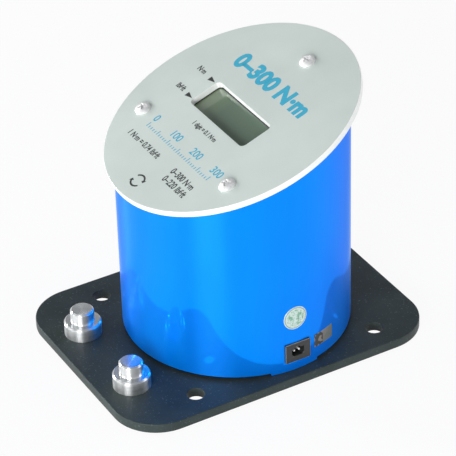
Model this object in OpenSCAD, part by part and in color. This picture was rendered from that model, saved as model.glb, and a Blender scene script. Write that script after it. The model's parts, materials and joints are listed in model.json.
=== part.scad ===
// Bench torque tester: a base plate carries a torque cell, and a round housing
// with a slanted display face swivels on the base around the cell.
// The origin is the middle of the plate's underside, and +Y is the long way.

/* [Base plate] */
// Width of the base plate
plate_w = 148; // [146:1:160]
// Thickness of the base plate
plate_t = 6; // [5:0.5:9]
// Radius of the plate's corners
plate_corner_r = 28; // [20:1:32]
// Chamfer along the plate's edges
plate_chamfer = 0.6; // [0.3:0.1:1]
// Distance of the mounting holes from the plate's long edges
hole_inset = 17; // [16:0.5:19]
// Distance between the mounting holes along the plate
hole_span_y = 120; // [118:1:124]
// Diameter of the mounting holes
hole_d = 10.5; // [9:0.5:11]
// Chamfer at both ends of the mounting holes
hole_chamfer = 0.4; // [0.2:0.1:0.8]
// Distance from the tube to the plate's far edge
rear_margin = 26; // [25:0.5:32]

/* [Support studs] */
// Distance between the two studs
stud_span = 60; // [50:1:70]
// Distance of the studs from the plate's short edge
stud_edge = 20; // [17:0.5:21]
// Distance between a stud's flange and the tube
stud_gap = 8; // [6:0.5:12]
// Height of a stud above the plate
stud_h = 16.5; // [15:0.5:20]
// Diameter of a stud's flange
stud_flange_d = 22; // [20:0.5:23]
// Height of a stud's flange
stud_flange_h = 8.8; // [7:0.2:10]
// Diameter of a stud's upper part
stud_neck_d = 14; // [12:0.5:16]
// Chamfer on the edges of a stud
stud_chamfer = 1; // [0.5:0.1:1.5]
// Thread of the screw that holds a stud
stud_thread = 6; // [5:0.5:6]
// Depth of a stud's thread
stud_thread_depth = 11; // [9:0.5:12]

/* [Housing] */
// Outer diameter of the housing tube
tube_d = 135; // [134:1:138]
// Wall of the housing tube
tube_wall = 3; // [2.5:0.25:3.5]
// Running gap between the plate and the housing's rim
rim_gap = 1.8; // [1.4:0.1:2.4]
// Angle that the tab under the inlet spans
tab_angle = 26; // [20:1:30]
// Gap between the tab and the plate
tab_gap = 0.3; // [0.2:0.05:0.5]
// Thickness of the housing's inner bottom flange
floor_t = 3; // [2.5:0.25:3.5]
// Chamfer on the housing's lower rim
rim_chamfer = 0.4; // [0.2:0.1:0.8]
// Height of the shelf's seat above the plate
shelf_rise = 85; // [84:0.5:87]
// Height of the shoulder that carries the shelf
shoulder_h = 3; // [2.5:0.5:5]
// Width of the shoulder that carries the shelf
shoulder_w = 5.5; // [5:0.5:6]

/* [Face] */
// Slope of the face
face_tilt = 19.7; // [18:0.1:21]
// Height of the face's middle above the plate
face_rise = 136; // [135:0.5:142]
// Thickness of the face plate
face_t = 4; // [3:0.25:4.5]
// How far the face plate stands out past the tube
face_overhang = 5.5; // [4:0.25:5.5]
// Sideways place of the two lower face screws
face_screw_x = 48; // [47:0.5:49]
// Place of the two lower face screws below the middle
face_screw_low = 32.5; // [32:0.5:34]
// Place of the upper face screw above the middle
face_screw_high = 54; // [50:0.5:55]
// Thread of the face screws
face_thread = 5; // [4:0.5:5]
// Width of the display window
window_w = 59; // [56:0.5:60]
// Height of the display window
window_h = 21; // [20:0.5:22]
// Corner radius of the display window
window_r = 3; // [2:0.5:5]
// Sideways place of the display window
window_x = -1; // [-2:0.5:2]
// Thickness of the carrier plate under the face
carrier_t = 5; // [4:0.5:5]

/* [Swivel] */
// Diameter of the hub that the housing turns on
hub_d = 96; // [94:1:98]
// Radial running clearance of the swivel
swivel_gap = 0.05; // [0.03:0.01:0.1]
// Axial play of the swivel, above and below
swivel_play = 0.05; // [0.03:0.01:0.1]
// Thickness of the upper glide ring
upper_glide_t = 1; // [0.8:0.1:1.2]
// Width of the lower glide ring
lower_glide_w = 10; // [8:0.5:11]
// Outer diameter of the retaining ring
retainer_d = 112; // [110:1:113]
// Thickness of the retaining ring
retainer_t = 2.5; // [2:0.25:2.5]
// Thread of the retaining ring's screws
retainer_thread = 3; // [2.5:0.5:3]
// Width of the stop lug on the retaining ring
stop_lug_w = 5; // [4:0.25:5]
// Diameter of the stop pin in the housing
stop_pin_d = 4; // [3:0.25:4]
// Height of the stop pin above the housing's floor
stop_pin_rise = 4; // [3.6:0.1:4.4]

/* [Torque cell] */
// Height of the reaction sleeve above the plate
sleeve_h = 62; // [58:0.5:63]
// Outer diameter of the reaction sleeve
sleeve_d = 60; // [58:0.5:61]
// Wall of the reaction sleeve
sleeve_wall = 6; // [5:0.25:6]
// Thickness of the sleeve's top flange
sleeve_flange_t = 8; // [7:0.5:9]
// Diameter of the flanges between sleeve and shaft
cell_flange_d = 72; // [71:0.5:75]
// Thickness of the shaft's flange
shaft_flange_t = 7; // [6:0.5:8]
// Diameter of the shaft's lower head
shaft_head_d = 30; // [29:0.5:31]
// Height of the shaft's lower head
shaft_head_h = 24; // [22:0.5:25]
// Diameter of the shaft's measuring section
waist_d = 18; // [17:0.5:19]
// Radius of the fillets at the ends of the measuring section
waist_fillet = 6; // [4:0.5:6]
// Width of the square drive socket
drive_w = 12.8; // [12.7:0.05:13]
// Depth of the square drive socket
drive_depth = 18; // [16:0.5:19]
// Wall of the guide bush
bush_wall = 3; // [2.5:0.25:3]
// Thread of the screws between plate and sleeve
sleeve_thread = 6; // [5:0.5:6]
// Thread of the screws between shaft and sleeve
cell_thread = 5; // [4:0.5:5]
// Diameter of the gauge cable
cable_d = 4; // [3:0.5:4]

/* [Inlet and labels] */
// Width of the inlet's bezel
bezel_w = 16.5; // [15:0.5:17]
// Height of the inlet's bezel
bezel_h = 12.8; // [12:0.2:13]
// How far the bezel stands out of the tube
bezel_proud = 0.8; // [0.6:0.1:1.2]
// Thickness of the bezel
bezel_t = 1.5; // [1.4:0.1:1.8]
// Height of the inlet's middle above the plate
inlet_rise = 12.9; // [12.9:0.1:14]
// Sideways place of the inlet
inlet_shift = 1.2; // [0:0.1:2]
// Width of the plug opening
plug_w = 8; // [7:0.25:9]
// Height of the plug opening
plug_h = 5.3; // [5:0.1:5.8]
// Depth of the plug opening
plug_depth = 7; // [6:0.5:7.5]
// Diameter of a contact pin
pin_d = 1.3; // [1:0.1:1.5]
// Distance between the contact pins
pin_span = 3.3; // [3:0.1:3.8]
// Diameter of the round label
seal_d = 15; // [12:0.5:16]
// Height of the round label's middle above the plate
seal_rise = 36.4; // [34:0.2:40]
// Width of the small label
tag_w = 15.4; // [12:0.2:16]
// Height of the small label
tag_h = 8.8; // [7:0.2:9]
// Angle of the small label's middle around the tube
tag_angle = 17.9; // [17.5:0.1:24]
// Height of the small label's middle above the plate
tag_rise = 14; // [13:0.2:18]

/* [Electronics] */
// Width of the display board
display_board_w = 88; // [84:1:90]
// Height of the display board
display_board_h = 50; // [48:1:52]
// Thickness of the circuit boards
board_t = 1.6; // [1.2:0.1:2]
// Thickness of the display glass
glass_t = 2.8; // [2:0.1:3]
// Thickness of the window gasket
gasket_t = 0.3; // [0.2:0.05:0.5]
// Width of the gasket's visible lip inside the window
gasket_lip = 0.5; // [0.3:0.05:0.8]
// Thickness of the shelf
shelf_t = 2; // [1.5:0.25:2.5]
// Width of the measuring board
measuring_board_w = 74; // [70:1:76]
// Length of the measuring board
measuring_board_l = 58; // [54:1:58]
// Height of the spacers under the measuring board
spacer_h = 8; // [8:0.5:9]
// Diameter of a battery cell
cell_d = 14.5; // [14:0.1:14.6]
// Length of a battery cell
cell_l = 50; // [44:0.5:51]

/* [Hidden] */
$fn = 64;
// Overrun of a cut past the solid that it cuts
cut = 1;
// Clearance between a thread or a pin and its hole
fit_gap = 0.05;
// Clearance round a screw in a through hole
through_gap = 0.25;
// Clearance between pieces that lie side by side
side_gap = 0.3;

// Screw proportions as shares of the thread
csk_head_share = 2;
cap_head_share = 1.6;
pan_head_share = 1.9;
pan_height_share = 0.6;
hex_share = 0.9;
recess_share = 0.5;
recess_arm_share = 1.05;
recess_slot_share = 0.26;

// Plate: as long as the stud, its gap, the tube and the margin behind it need
plate_l = stud_edge + stud_flange_d / 2 + stud_gap + tube_d + rear_margin;
axis_y = plate_l / 2 - rear_margin - tube_d / 2;
hole_span_x = plate_w - 2 * hole_inset;

// Shares of a chip's size that its legs take, and of the board where the cans stand
leg_w_share = 0.1;
leg_l_share = 0.9;
leg_h_share = 0.2;
can_place_share = 0.28;

// Heights that follow the plate
rim_z = plate_t + rim_gap;
floor_top = rim_z + floor_t;
hub_top = floor_top + swivel_play + upper_glide_t;
hub_h = hub_top - plate_t;
retainer_top = hub_top + retainer_t;
sleeve_top = plate_t + sleeve_h;
shaft_top = sleeve_top + shaft_flange_t;
shelf_z = plate_t + shelf_rise;
shelf_top = shelf_z + shelf_t;
board_z = shelf_top + spacer_h;
board_top = board_z + board_t;
face_z = plate_t + face_rise;

// Radii that follow the housing
tube_r = tube_d / 2;
tube_in = tube_r - tube_wall;
hub_r = hub_d / 2;
face_plan_r = tube_r + face_overhang;
sleeve_r = sleeve_d / 2;
sleeve_in = sleeve_r - sleeve_wall;
bush_in = shaft_head_d / 2 + fit_gap;
bush_r = bush_in + bush_wall;

// Swivel: the lug on the base and the pin in the housing meet at the ends of the turn
retainer_r = retainer_d / 2;
retainer_in = sleeve_r + side_gap;
stop_r = (retainer_r + tube_in) / 2;
lug_reach = stop_r + stop_pin_d / 2;

// Screw circles, midway between the walls that they pass
sleeve_screw_r = (bush_r + hub_r) / 2 + sleeve_thread / 2;
retainer_screw_r = hub_r - csk_head_share * retainer_thread;
cell_screw_r = (sleeve_in + cell_flange_d / 2) / 2;
sleeve_screw_count = 6;
retainer_screw_count = 6;
cell_screw_count = 6;

// Torque cell
shaft_inset = 0.5;
shaft_chamfer = 1;
neck_top = shaft_inset + shaft_head_h;
spigot_r = sleeve_in - 4 * fit_gap - sleeve_wall / 4;
spigot_h = sleeve_flange_t / 2;
waist_low = neck_top + waist_fillet;
waist_high = sleeve_top - spigot_h - waist_fillet;
core_d = cable_d + 2 * side_gap;
lead_d = 0.8;
port_d = 2;
port_z = waist_high - waist_fillet;
gauge_h = 10;
gauge_t = 0.25;
gauge_arc = 56;
gauge_z = (waist_low + port_z - gauge_h) / 2;
gauge_count = 4;

// Support studs
stud_y = stud_edge - plate_l / 2;

// Face stack, downwards from the face's top surface
gasket_z = face_t + gasket_t;
glass_z = gasket_z + glass_t;
glass_margin_x = 3.5;
glass_margin_y = 3.5;
frame_wall = 2;
frame_floor = 1.4;
frame_z = glass_z + frame_floor;
display_board_z = frame_z + board_t;
standoff_d = 6;
standoff_inset = 3.5;
standoff_x = display_board_w / 2 - standoff_inset;
standoff_y = display_board_h / 2 - standoff_inset;
small_thread = 3;
thread_end = 2;
opening_gap = 2.5;
opening_w = display_board_w + 2 * opening_gap;
opening_h = display_board_h + 2 * opening_gap;
opening_r = 5;
carrier_low = face_t + carrier_t;
face_screw_l = carrier_low - side_gap;

// Places on the shelf
shelf_r = tube_in - fit_gap;
shelf_hole_r = 8;
shelf_screw_r = tube_in - shoulder_w / 2 - fit_gap;
shelf_screw_count = 3;
shelf_screw_start = 30;
wire_slot_w = 9;
wire_slot_l = 8;
wire_slot_r = tube_in - shoulder_w - wire_slot_l / 2 - side_gap;
board_back = cell_d / 2;
board_y = board_back - measuring_board_l / 2;
spacer_d = 6;
spacer_inset = 4;
plug_body_w = 10;
plug_body_l = 8;
plug_gap = 1.5;
plug_body_h = spacer_h - plug_gap;

// Battery: a lower row of three cells and an upper row of two, nested
cell_edge = 0.6;
cell_stud_d = 5.5;
cell_stud_h = 1;
strap_t = 1.2;
cell_pitch = cell_d + side_gap;
row_rise = cell_d * sqrt(3) / 2 + side_gap;
cell_y = board_back + 2 * side_gap + strap_t + cell_d / 2;
strap_w = 14;
strap_foot = 10;
strap_x = cell_l / 2 + side_gap;
strap_top = shelf_top + side_gap + row_rise + cell_d + side_gap;
strap_y = cell_y + cell_pitch;

// Inlet
inlet_z = plate_t + inlet_rise;
inlet_front = tube_r + bezel_proud;
inlet_seat = inlet_front - bezel_t;
inlet_side_wall = 2;
inlet_top_wall = 1.35;
inlet_back_wall = 2;
inlet_body_w = plug_w + 2 * inlet_side_wall;
inlet_body_h = plug_h + 2 * inlet_top_wall;
inlet_back = inlet_front - plug_depth - inlet_back_wall;
pin_recess = 1.5;
pin_tail = 3;
pin_nose = 0.4;
pin_front = inlet_front - pin_recess;
pin_back = inlet_back - pin_tail;
key_w = 2.4;
key_h = 0.9;
plug_corner = 1.3;
label_t = 0.2;

// Ribbon cable between the two boards
ribbon_w = 14;
ribbon_t = 0.9;
header_w = 18;
header_l = 6;
header_h = 6;
ribbon_face_share = 0.22;
ribbon_board_share = 0.5;
ribbon_face_y = -ribbon_face_share * display_board_h;
ribbon_board_y = -ribbon_board_share * measuring_board_l;
ribbon_steps = 16;

// Charging wires
wire_d = 1.6;
wire_sides = 8;
wire_steps = 3;
wire_r = wire_slot_r;
terminal_rise = 4;
terminal_y = board_y / 2;

// Frames of reference

// The vertical swivel axis
module at_axis() { translate([0, axis_y, 0]) children(); }

// The slanted face: its middle, with +Z out of the face
module on_face() { at_axis() translate([0, 0, face_z]) rotate([face_tilt, 0, 0]) children(); }

// Copies on a circle
module around(count, radius, start = 0) {
    for (i = [0 : count - 1]) rotate([0, 0, start + i * 360 / count]) translate([radius, 0, 0]) children();
}

// Copies at the four corners of a rectangle
module corners(x, y) {
    for (i = [-1, 1], j = [-1, 1]) translate([i * x, j * y, 0]) children();
}

// The three places of the face screws
module face_screw_places() {
    for (i = [-1, 1]) translate([i * face_screw_x, -face_screw_low, 0]) children();
    translate([0, face_screw_high, 0]) children();
}

// Common shapes

module rounded_square(w, l, r) {
    square([w - 2 * r, l], center = true);
    square([w, l - 2 * r], center = true);
    corners(w / 2 - r, l / 2 - r) circle(r);
}

module rounded_slab(w, l, t, r) { linear_extrude(t) rounded_square(w, l, r); }

module block(w, l, h) { translate([-w / 2, -l / 2, 0]) cube([w, l, h]); }

module ring(outer, inner, h) {
    rotate_extrude() translate([inner, 0]) square([outer - inner, h]);
}

// Outline of a slab's cross-section with both edges chamfered
module chamfered_section(w, t, c) {
    polygon([[c - w / 2, 0], [w / 2 - c, 0], [w / 2, c], [w / 2, t - c],
        [w / 2 - c, t], [c - w / 2, t], [-w / 2, t - c], [-w / 2, c]]);
}

// Rounded slab with chamfered edges, from straight stretches and turned corners
module chamfered_slab(w, l, t, r, c) {
    rotate([90, 0, 0]) linear_extrude(l - 2 * r, center = true) chamfered_section(w, t, c);
    rotate([90, 0, 90]) linear_extrude(w - 2 * r, center = true) chamfered_section(l, t, c);
    corners(w / 2 - r, l / 2 - r)
        rotate_extrude() polygon([[0, 0], [r - c, 0], [r, c], [r, t - c], [r - c, t], [0, t]]);
}

// Screws: the seat is at z = 0 and the thread points down

module shank(d, l) { translate([0, 0, -l]) cylinder(d = d, h = l); }

module hex_recess(d, top) {
    translate([0, 0, top - recess_share * d]) cylinder(d = hex_share * d, h = recess_share * d + cut, $fn = 6);
}

// Cap screw with a cylindrical head and a hexagon socket
module cap_screw(d, l) {
    difference() {
        union() {
            shank(d, l);
            cylinder(d = cap_head_share * d, h = d);
        }
        hex_recess(d, d);
    }
}

// Countersunk screw, flush at z = 0
module csk_screw(d, l) {
    difference() {
        union() {
            shank(d, l);
            csk_cone(d, 0);
        }
        hex_recess(d, 0);
    }
}

module csk_cone(d, gap) {
    head_r = csk_head_share * d / 2 + gap;
    translate([0, 0, -(head_r - d / 2)]) cylinder(r1 = d / 2, r2 = head_r, h = head_r - d / 2);
}

// Hole for a countersunk screw: the through part is as deep as asked
module csk_hole(d, depth) {
    translate([0, 0, -depth]) cylinder(d = d + 2 * through_gap, h = depth + cut);
    csk_cone(d, fit_gap);
    translate([0, 0, -fit_gap / 2]) cylinder(d = csk_head_share * d + 2 * fit_gap, h = cut);
}

// Pan head screw with a domed head and a cross recess
module pan_screw(d, l) {
    head_r = pan_head_share * d / 2;
    head_h = pan_height_share * d;
    side_h = head_h / 3;
    dome_h = head_h - side_h;
    dome_r = (head_r * head_r + dome_h * dome_h) / (2 * dome_h);
    difference() {
        union() {
            shank(d, l);
            cylinder(r = head_r, h = side_h);
            translate([0, 0, side_h]) intersection() {
                cylinder(r = head_r, h = dome_h);
                translate([0, 0, dome_h - dome_r]) sphere(dome_r);
            }
        }
        for (turn = [0, 90]) rotate([0, 0, turn]) translate([0, 0, head_h - recess_share * head_h])
            block(recess_arm_share * d, recess_slot_share * d, head_h);
    }
}

// Base

// Through hole in the plate with a chamfer at both ends
module soft_hole(r) {
    translate([0, 0, -cut]) cylinder(r = r, h = plate_t + 2 * cut);
    translate([0, 0, -cut]) cylinder(r1 = r + hole_chamfer + cut, r2 = r, h = hole_chamfer + cut);
    translate([0, 0, plate_t - hole_chamfer])
        cylinder(r1 = r, r2 = r + hole_chamfer + cut, h = hole_chamfer + cut);
}

module base_plate() {
    color([0.24, 0.27, 0.27]) difference() {
        chamfered_slab(plate_w, plate_l, plate_t, plate_corner_r, plate_chamfer);
        at_axis() {
            corners(hole_span_x / 2, hole_span_y / 2) soft_hole(hole_d / 2);
            soft_hole(shaft_head_d / 2 + side_gap);
            around(sleeve_screw_count, sleeve_screw_r)
                mirror([0, 0, 1]) csk_hole(sleeve_thread, plate_t + cut);
        }
        for (i = [-1, 1]) translate([i * stud_span / 2, stud_y, 0])
            mirror([0, 0, 1]) csk_hole(stud_thread, plate_t + cut);
    }
}

// One turned stud: a flange and a neck with a flat top, tapped from below
module stud() {
    flange_r = stud_flange_d / 2;
    neck_r = stud_neck_d / 2;
    thread_r = stud_thread / 2 + fit_gap;
    rotate_extrude() polygon([
        [thread_r, 0], [flange_r, 0], [flange_r, stud_flange_h - stud_chamfer],
        [flange_r - stud_chamfer, stud_flange_h], [neck_r, stud_flange_h],
        [neck_r, stud_h - stud_chamfer], [neck_r - stud_chamfer, stud_h],
        [0, stud_h], [0, stud_thread_depth], [thread_r, stud_thread_depth]
    ]);
}

module support_studs() {
    color([0.80, 0.82, 0.83]) for (i = [-1, 1])
        translate([i * stud_span / 2, stud_y, plate_t]) stud();
}

module stud_screws() {
    color([0.55, 0.56, 0.58]) for (i = [-1, 1]) translate([i * stud_span / 2, stud_y, 0])
        mirror([0, 0, 1]) csk_screw(stud_thread, plate_t + stud_thread_depth - stud_chamfer);
}

// Torque cell

// Turned sleeve: hub at the foot, tube, and a top flange that takes the reaction
module reaction_sleeve() {
    flange_r = cell_flange_d / 2;
    flange_low = sleeve_top - sleeve_flange_t;
    foot_in = bush_r + fit_gap;
    bore_in = spigot_r + fit_gap;
    color([0.62, 0.64, 0.66]) at_axis() difference() {
        rotate_extrude() polygon([
            [foot_in, plate_t], [hub_r, plate_t], [hub_r, hub_top], [sleeve_r, hub_top],
            [sleeve_r, flange_low - (flange_r - sleeve_r)], [flange_r, flange_low],
            [flange_r, sleeve_top], [bore_in, sleeve_top], [bore_in, flange_low],
            [sleeve_in, flange_low - (sleeve_in - bore_in)], [sleeve_in, retainer_top], [foot_in, hub_top]
        ]);
        around(sleeve_screw_count, sleeve_screw_r)
            translate([0, 0, plate_t - cut]) cylinder(d = sleeve_thread + 2 * fit_gap, h = hub_h + 2 * cut);
        around(retainer_screw_count, retainer_screw_r, 180 / retainer_screw_count)
            translate([0, 0, plate_t - cut]) cylinder(d = retainer_thread + 2 * fit_gap, h = hub_h + 2 * cut);
        around(cell_screw_count, cell_screw_r)
            translate([0, 0, flange_low - cut])
                cylinder(d = cell_thread + 2 * fit_gap, h = sleeve_flange_t + 2 * cut);
    }
}

module sleeve_screws() {
    color([0.55, 0.56, 0.58]) at_axis() around(sleeve_screw_count, sleeve_screw_r)
        mirror([0, 0, 1]) csk_screw(sleeve_thread, plate_t + hub_h - side_gap);
}

module guide_bush() {
    color([0.72, 0.55, 0.30]) at_axis() translate([0, 0, plate_t]) ring(bush_r, bush_in, hub_h);
}

// Turned shaft: square socket at the foot, thin measuring section, top flange
module torsion_shaft() {
    head_r = shaft_head_d / 2;
    waist_r = waist_d / 2;
    flange_r = cell_flange_d / 2;
    color([0.70, 0.72, 0.74]) at_axis() difference() {
        rotate_extrude() difference() {
            polygon([
                [0, shaft_inset], [head_r - shaft_chamfer, shaft_inset],
                [head_r, shaft_inset + shaft_chamfer], [head_r, neck_top],
                [waist_r + waist_fillet, neck_top],
                [waist_r + waist_fillet, sleeve_top - spigot_h], [spigot_r, sleeve_top - spigot_h],
                [spigot_r, sleeve_top], [flange_r, sleeve_top], [flange_r, shaft_top], [0, shaft_top]
            ]);
            translate([waist_r, waist_low]) square([waist_fillet + cut, waist_high - waist_low]);
            for (z = [waist_low, waist_high]) translate([waist_r + waist_fillet, z]) circle(waist_fillet);
        }
        translate([0, 0, shaft_inset - cut]) block(drive_w, drive_w, drive_depth + cut);
        translate([0, 0, port_z - port_d]) cylinder(d = core_d, h = shaft_top - port_z + port_d + cut);
        translate([0, 0, port_z]) around(gauge_count, 0)
            rotate([0, 90, 0]) cylinder(d = port_d, h = waist_r + cut);
        around(cell_screw_count, cell_screw_r)
            translate([0, 0, sleeve_top - cut])
                cylinder(d = cell_thread + 2 * through_gap, h = shaft_flange_t + 2 * cut);
    }
}

module shaft_screws() {
    color([0.30, 0.31, 0.33]) at_axis() around(cell_screw_count, cell_screw_r)
        translate([0, 0, shaft_top]) cap_screw(cell_thread, shaft_flange_t + sleeve_flange_t - side_gap);
}

// Foil gauges bonded round the measuring section
module strain_gauges() {
    color([0.80, 0.52, 0.18]) at_axis() for (i = [0 : gauge_count - 1])
        rotate([0, 0, i * 360 / gauge_count - gauge_arc / 2]) translate([0, 0, gauge_z])
            rotate_extrude(angle = gauge_arc) translate([waist_d / 2 + fit_gap, 0]) square([gauge_t, gauge_h]);
}

// Each lead climbs from its gauge and turns in through a port of the shaft
module gauge_leads() {
    lead_r = waist_d / 2 + 2 * fit_gap + gauge_t + lead_d / 2;
    lead_in = cable_d / 2 + fit_gap;
    color([0.75, 0.10, 0.10]) at_axis() around(gauge_count, 0) {
        translate([lead_r, 0, gauge_z + gauge_h / 2]) cylinder(d = lead_d, h = port_z - gauge_z - gauge_h / 2);
        translate([lead_r, 0, port_z]) sphere(d = lead_d);
        translate([lead_in, 0, port_z]) rotate([0, 90, 0]) cylinder(d = lead_d, h = lead_r - lead_in);
    }
}

module gauge_cable() {
    cable_top = board_z - plug_body_h - fit_gap;
    color([0.12, 0.12, 0.13]) at_axis() translate([0, 0, port_z - port_d + side_gap])
        cylinder(d = cable_d, h = cable_top - port_z + port_d - side_gap);
}

// Swivel

module lower_glide_ring() {
    inner = hub_r + side_gap;
    color([0.92, 0.92, 0.88]) at_axis() translate([0, 0, plate_t])
        ring(inner + lower_glide_w, inner, rim_gap - swivel_play);
}

module upper_glide_ring() {
    color([0.92, 0.92, 0.88]) at_axis() translate([0, 0, floor_top + swivel_play])
        ring(retainer_r, hub_r + fit_gap, upper_glide_t);
}

// Ring screwed to the hub: it holds the housing down, and its lug ends the turn
module retaining_ring() {
    color([0.58, 0.60, 0.62]) at_axis() difference() {
        union() {
            translate([0, 0, hub_top]) ring(retainer_r, retainer_in, retainer_t);
            translate([-stop_lug_w / 2, (retainer_in + retainer_r) / 2, hub_top])
                cube([stop_lug_w, lug_reach - (retainer_in + retainer_r) / 2, retainer_t]);
        }
        around(retainer_screw_count, retainer_screw_r, 180 / retainer_screw_count)
            translate([0, 0, retainer_top]) csk_hole(retainer_thread, retainer_t + cut);
    }
}

module retaining_screws() {
    color([0.55, 0.56, 0.58]) at_axis()
        around(retainer_screw_count, retainer_screw_r, 180 / retainer_screw_count)
            translate([0, 0, retainer_top]) csk_screw(retainer_thread, retainer_t + hub_h - side_gap);
}

// Housing

// Everything above the underside of the face plate
module above_face_seat() {
    on_face() translate([0, 0, -face_t]) block(2 * tube_d, 2 * tube_d, tube_d);
}

// Turned tube with an inner bottom flange, a shoulder for the shelf, a tab under
// the inlet and a slanted top
module housing_tube() {
    tube_top = face_z + tube_r;
    shoulder_in = tube_in - shoulder_w;
    tab_z = plate_t + tab_gap;
    color([0.04, 0.45, 0.95]) difference() {
        union() {
            at_axis() rotate_extrude() polygon([
                [hub_r + swivel_gap, rim_z], [tube_r - rim_chamfer, rim_z], [tube_r, rim_z + rim_chamfer],
                [tube_r, tube_top], [tube_in, tube_top], [tube_in, shelf_z],
                [shoulder_in, shelf_z], [shoulder_in, shelf_z - shoulder_h],
                [tube_in, shelf_z - shoulder_h - shoulder_w], [tube_in, floor_top],
                [hub_r + swivel_gap, floor_top]
            ]);
            at_axis() rotate([0, 0, -tab_angle / 2]) translate([0, 0, tab_z])
                rotate_extrude(angle = tab_angle) translate([tube_in, 0])
                    square([tube_wall, rim_gap - tab_gap + rim_chamfer + cut]);
        }
        above_face_seat();
        at_axis() translate([0, inlet_shift, inlet_z]) {
            translate([inlet_seat, -bezel_w / 2 - fit_gap, -bezel_h / 2 - fit_gap])
                cube([tube_wall + bezel_t, bezel_w + 2 * fit_gap, bezel_h + 2 * fit_gap]);
            translate([tube_in - tube_wall, -inlet_body_w / 2 - fit_gap, -inlet_body_h / 2 - fit_gap])
                cube([3 * tube_wall, inlet_body_w + 2 * fit_gap, inlet_body_h + 2 * fit_gap]);
        }
        at_axis() around(shelf_screw_count, shelf_screw_r, shelf_screw_start)
            translate([0, 0, shelf_z - shoulder_h]) cylinder(d = small_thread + 2 * fit_gap, h = shoulder_h + cut);
        at_axis() translate([0, -stop_r, rim_z - cut])
            cylinder(d = stop_pin_d + 2 * fit_gap, h = floor_t + 2 * cut);
    }
}

module stop_pin() {
    color([0.70, 0.72, 0.74]) at_axis() translate([0, -stop_r, rim_z + fit_gap])
        cylinder(d = stop_pin_d, h = floor_t - fit_gap + stop_pin_rise);
}

// Plate fixed in the slanted mouth of the tube: it takes the face screws
module carrier_plate() {
    color([0.66, 0.68, 0.70]) difference() {
        intersection() {
            on_face() translate([0, 0, -carrier_low]) block(2 * tube_d, 2 * tube_d, carrier_t);
            at_axis() cylinder(r = tube_in - fit_gap, h = face_z + tube_d);
        }
        on_face() translate([0, 0, -carrier_low - cut]) {
            rounded_slab(opening_w, opening_h, carrier_t + 2 * cut, opening_r);
            face_screw_places() cylinder(d = face_thread + 2 * fit_gap, h = carrier_t + 2 * cut);
        }
    }
}

// Face

// Sloping face plate: an ellipse that is a circle when seen from above
module face_plate() {
    color([0.78, 0.83, 0.81]) on_face() translate([0, 0, -face_t]) difference() {
        linear_extrude(face_t) scale([1, 1 / cos(face_tilt)]) circle(face_plan_r);
        translate([window_x, 0, -cut]) rounded_slab(window_w, window_h, face_t + 2 * cut, window_r);
        face_screw_places()
            translate([0, 0, -cut]) cylinder(d = face_thread + 2 * through_gap, h = face_t + 2 * cut);
    }
}

module face_screws() {
    color([0.85, 0.86, 0.87]) on_face() face_screw_places() pan_screw(face_thread, face_screw_l);
}

module window_gasket() {
    color([0.05, 0.06, 0.06]) on_face() translate([window_x, 0, -gasket_z]) difference() {
        rounded_slab(window_w + 2 * glass_margin_x, window_h + 2 * glass_margin_y, gasket_t, window_r);
        translate([0, 0, -cut]) rounded_slab(window_w - 2 * gasket_lip, window_h - 2 * gasket_lip,
            gasket_t + 2 * cut, window_r - gasket_lip);
    }
}

module display_glass() {
    color([0.34, 0.42, 0.37]) on_face() translate([window_x, 0, -glass_z])
        block(window_w + 2 * glass_margin_x, window_h + 2 * glass_margin_y, glass_t);
}

// Tray that holds the glass against the gasket, open below for the contacts
module display_frame() {
    inner_w = window_w + 2 * glass_margin_x + 2 * fit_gap;
    inner_h = window_h + 2 * glass_margin_y + 2 * fit_gap;
    color([0.08, 0.09, 0.09]) on_face() translate([window_x, 0, -frame_z]) difference() {
        rounded_slab(inner_w + 2 * frame_wall, inner_h + 2 * frame_wall, frame_floor + glass_t, frame_wall);
        translate([0, 0, frame_floor]) block(inner_w, inner_h, glass_t + cut);
        translate([0, 0, -cut]) block(window_w, window_h - 2 * frame_wall, frame_floor + 2 * cut);
    }
}

module display_board() {
    color([0.08, 0.35, 0.20]) on_face() translate([0, 0, -display_board_z]) difference() {
        block(display_board_w, display_board_h, board_t);
        corners(standoff_x, standoff_y)
            translate([0, 0, -cut]) cylinder(d = small_thread + 2 * through_gap, h = board_t + 2 * cut);
    }
}

// Threaded spacers between the face plate and the display board
module display_standoffs() {
    color([0.80, 0.70, 0.40]) on_face() translate([0, 0, -frame_z]) corners(standoff_x, standoff_y) difference() {
        cylinder(d = standoff_d / cos(30), h = frame_z - face_t, $fn = 6);
        translate([0, 0, -cut]) cylinder(d = small_thread + 2 * fit_gap, h = frame_z - face_t);
    }
}

module display_screws() {
    color([0.80, 0.81, 0.82]) on_face() translate([0, 0, -display_board_z]) corners(standoff_x, standoff_y)
        mirror([0, 0, 1]) cap_screw(small_thread, board_t + frame_z - face_t - thread_end);
}

// A chip with its two rows of legs
module chip(w, l, h) {
    leg_w = leg_w_share * w;
    leg_h = leg_h_share * h;
    translate([0, 0, leg_h]) block(w, l, h - leg_h);
    for (i = [-1, 1]) translate([i * (w - leg_w) / 2, 0, 0]) block(leg_w, leg_l_share * l, leg_h);
}

// Parts on the back of the display board: driver, header and two can capacitors
module display_board_parts() {
    chip_w = 10;
    chip_l = 14;
    can_d = 6;
    can_x = can_place_share * display_board_w;
    color([0.10, 0.10, 0.11]) on_face() translate([0, 0, -display_board_z]) mirror([0, 0, 1]) {
        translate([-can_x, 0, 0]) chip(chip_w, chip_l, chip_w / 5);
        translate([0, ribbon_face_y, 0]) block(header_w, header_l, header_h);
        for (j = [-1, 1]) translate([can_x, j * can_d, 0]) cylinder(d = can_d, h = can_d);
    }
}

// Inside the housing

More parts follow.
